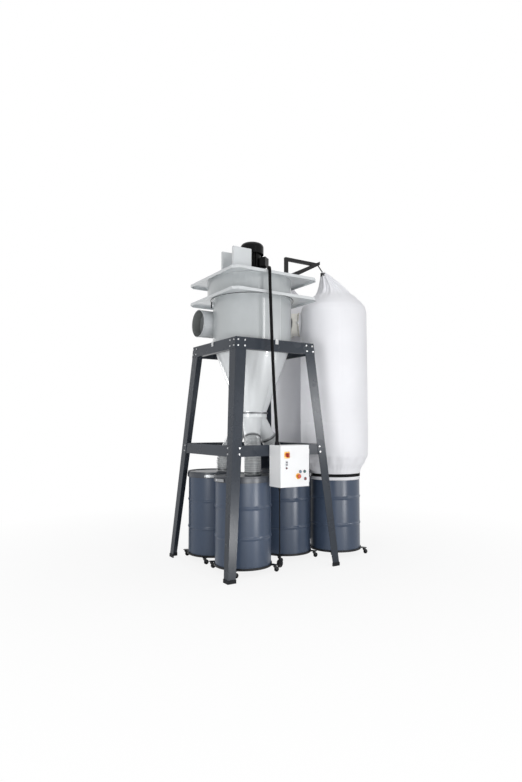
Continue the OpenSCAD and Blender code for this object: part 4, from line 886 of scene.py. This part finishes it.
# Hour meter: a narrow grey plastic bezel with two small dark windows, clipped into the door.
# A dark red fault lamp sits under it, and a zinc quarter-turn lock beside it.
meter_x = -0.081
door_plate("hour_meter", meter_x, 1.093, 0.026, 0.052, 0.006,
           gloss_plastic("meter_grey", (0.62, 0.63, 0.65), 0.35))
for number, z in enumerate((1.105, 1.081)):
    door_plate("meter_window_%d" % (number + 1), meter_x, z, 0.018, 0.017, 0.0072,
               gloss_plastic("meter_window_dark", (0.12, 0.13, 0.15), 0.14))
fault_lamp = stepped("fault_lamp", on_door(meter_x, 1.049), door_out, 0.010,
                     ((0, 0.005), (0.002, 0.004), (0.002, 0.0005)))
fault_lamp.data.materials.append(gloss_plastic("fault_red", (0.10, 0.02, 0.025), 0.25))
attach(fault_lamp, "door")
door_lock = stepped("door_lock", on_door(-0.134, 1.066), door_out, 0.010,
                    ((0, 0.003), (0.002, 0.002), (0.003, -0.002)))
door_lock.data.materials.append(zinc)
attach(door_lock, "door")

# Switchgear: contactors, a relay and a terminal row on the back plate, seen when the door is open.
# Slotted wiring ducts run between the rows, and short wires drop from each block into them.
terminal_spread = (-1.7, 0, 1.7)
gear_fronts = ((-0.053, 1.1765, -0.6772, 0.062, 0.080), (0.025, 1.1715, -0.6832, 0.058, 0.090),
               (0.098, 1.1755, -0.6692, 0.054, 0.078), (-0.039, 1.0415, -0.6652, 0.080, 0.070),
               (0.089, 1.0425, -0.6592, 0.096, 0.084))
gear_dark = matt_finish("gear_dark_plastic", (0.035, 0.037, 0.04), 0.42, 800, 0.2)
gear_pale = gloss_plastic("gear_pale_plastic", (0.42, 0.43, 0.42), 0.4)
wire_brown = gloss_plastic("wire_brown", (0.09, 0.035, 0.015), 0.4)
wire_blue = gloss_plastic("wire_blue", (0.02, 0.05, 0.22), 0.4)
wire_black = gloss_plastic("wire_black", (0.012, 0.012, 0.013), 0.4)


def slab(name, low, high, finish, body, edge=0.0012):
    # a cube is drawn to its two corners and its edges are eased
    bpy.ops.object.select_all(action="DESELECT")
    bpy.ops.mesh.primitive_cube_add(size=1, location=(low + high) / 2)
    block = bpy.context.object
    block.name = name
    block.scale = high - low
    bpy.ops.object.transform_apply(location=True, rotation=True, scale=True)
    ease_edges(block, edge, 2)
    bpy.ops.object.shade_smooth_by_angle(angle=crisp_angle)
    block.data.materials.append(finish)
    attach(block, body)
    return block


for number, (x, z, y, wide, tall) in enumerate(gear_fronts):
    slab("gear_front_%d" % (number + 1), about_axis(x - wide * 0.38, y - 0.010, z - tall * 0.28),
         about_axis(x + wide * 0.38, y, z + tall * 0.28),
         gear_pale if number % 2 else gear_dark, "stand")
    rows = [(about_axis(x + wide * (0.2 * k), y, z + side * tall * 0.39), door_out)
            for k in terminal_spread for side in (-1, 1)]
    fasteners("gear_screws_%d" % (number + 1), rows, 0.0034, 0.0025, 14, zinc, "stand")
    for k, wire in zip(terminal_spread, (wire_brown, wire_black, wire_blue)):
        wire_x, wire_y, wire_z = 1000 * (x + wide * 0.2 * k), 1000 * y, 1000 * (z - tall / 2)
        wire_route = [(wire_x, wire_y + 6, wire_z - 0.5), (wire_x, wire_y + 6, wire_z - 4),
                      (wire_x, wire_y + 10, wire_z - 9), (wire_x, -640, wire_z - 14)]
        drop = lead("gear_wire_%d_%s" % (number + 1, wire.name), smooth_route(wire_route, 6), 0.0014)
        drop.data.materials.append(wire)
        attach(drop, "stand")
way_left, way_right, way_front, way_back, way_tall = -0.122, 0.164, -0.6312, -0.5995, 0.030
finger_step, finger_wide, finger_thick = 0.0119, 0.007, 0.002
for number, z in enumerate((1.0885, 0.9605)):
    slab("duct_cover_%d" % (number + 1), about_axis(way_left, way_front - 0.004, z),
         about_axis(way_right, way_front, z + way_tall), gear_pale, "stand")
    fingers = [slab("duct_finger", about_axis(way_left + finger_step * i, way_front, z + rise),
                    about_axis(way_left + finger_step * i + finger_wide, way_back, z + rise + finger_thick),
                    gear_pale, "stand", 0.0004)
               for rise in (0, way_tall - finger_thick) for i in range(24)]
    bpy.ops.object.select_all(action="DESELECT")
    for finger in fingers:
        finger.select_set(True)
    bpy.context.view_layer.objects.active = fingers[0]
    bpy.ops.object.join()
    fingers[0].name = "duct_fingers_%d" % (number + 1)

# Door gasket: a black rubber strip, cut as one frame and stuck round the box's front edge.
# The closed door presses on it.
bpy.ops.object.select_all(action="DESELECT")
bpy.ops.mesh.primitive_plane_add(size=1)
gasket = bpy.context.object
gasket.name = "door_gasket"
gasket.scale = (0.338, 0.401, 1)
bpy.ops.object.transform_apply(location=False, rotation=False, scale=True)
bpy.ops.object.mode_set(mode="EDIT")
bpy.ops.mesh.select_all(action="SELECT")
bpy.ops.mesh.inset(thickness=0.009)
bpy.ops.mesh.delete(type="FACE")
bpy.ops.object.mode_set(mode="OBJECT")
thicken(gasket, 0.0016, 1)
gasket_middle = Matrix.Translation(about_axis(0.021, -0.7573, 1.0665))
gasket.matrix_world = gasket_middle @ Matrix.Rotation(math.pi / 2, 4, "X")
bpy.ops.object.transform_apply(location=True, rotation=True, scale=True)
gasket.data.materials.append(cord_rubber)
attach(gasket, "stand")

# Drums: rolled steel drums in slate-blue satin paint, on black steel dollies with rubber-tyred casters.
# The three dust drums have dark lids held by lock rings with bright lever latches.
drum_blue = powder_coat("drum_blue", (0.051, 0.073, 0.117), 0.31, 0.06, 0.36)
dress("drums", drum_blue)
lid_grey = powder_coat("lid_grey", (0.04, 0.046, 0.058), 0.34, 0.1)
dress("drum_lids", lid_grey)
dress("lock_rings", powder_coat("ring_slate", (0.05, 0.057, 0.07), 0.28, 0.1))
latch_zinc = bright_metal("latch_zinc", (0.32, 0.33, 0.34), 0.32, (1, 1, 1))
for part in ("latch_front", "latch_left", "latch_right"):
    dress(part, latch_zinc)
dolly_black = powder_coat("dolly_black", (0.008, 0.0085, 0.01), 0.45, 0.1, 0.25)
dress("dollies", dolly_black)
dress("caster_forks", powder_coat("fork_black", (0.014, 0.015, 0.017), 0.4, 0.1, 0.25))
tyre = matt_finish("caster_tyre", (0.006, 0.006, 0.007), 0.6, 500, 0.35)
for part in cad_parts:
    if part.startswith("wheels_"):
        dress(part, tyre)
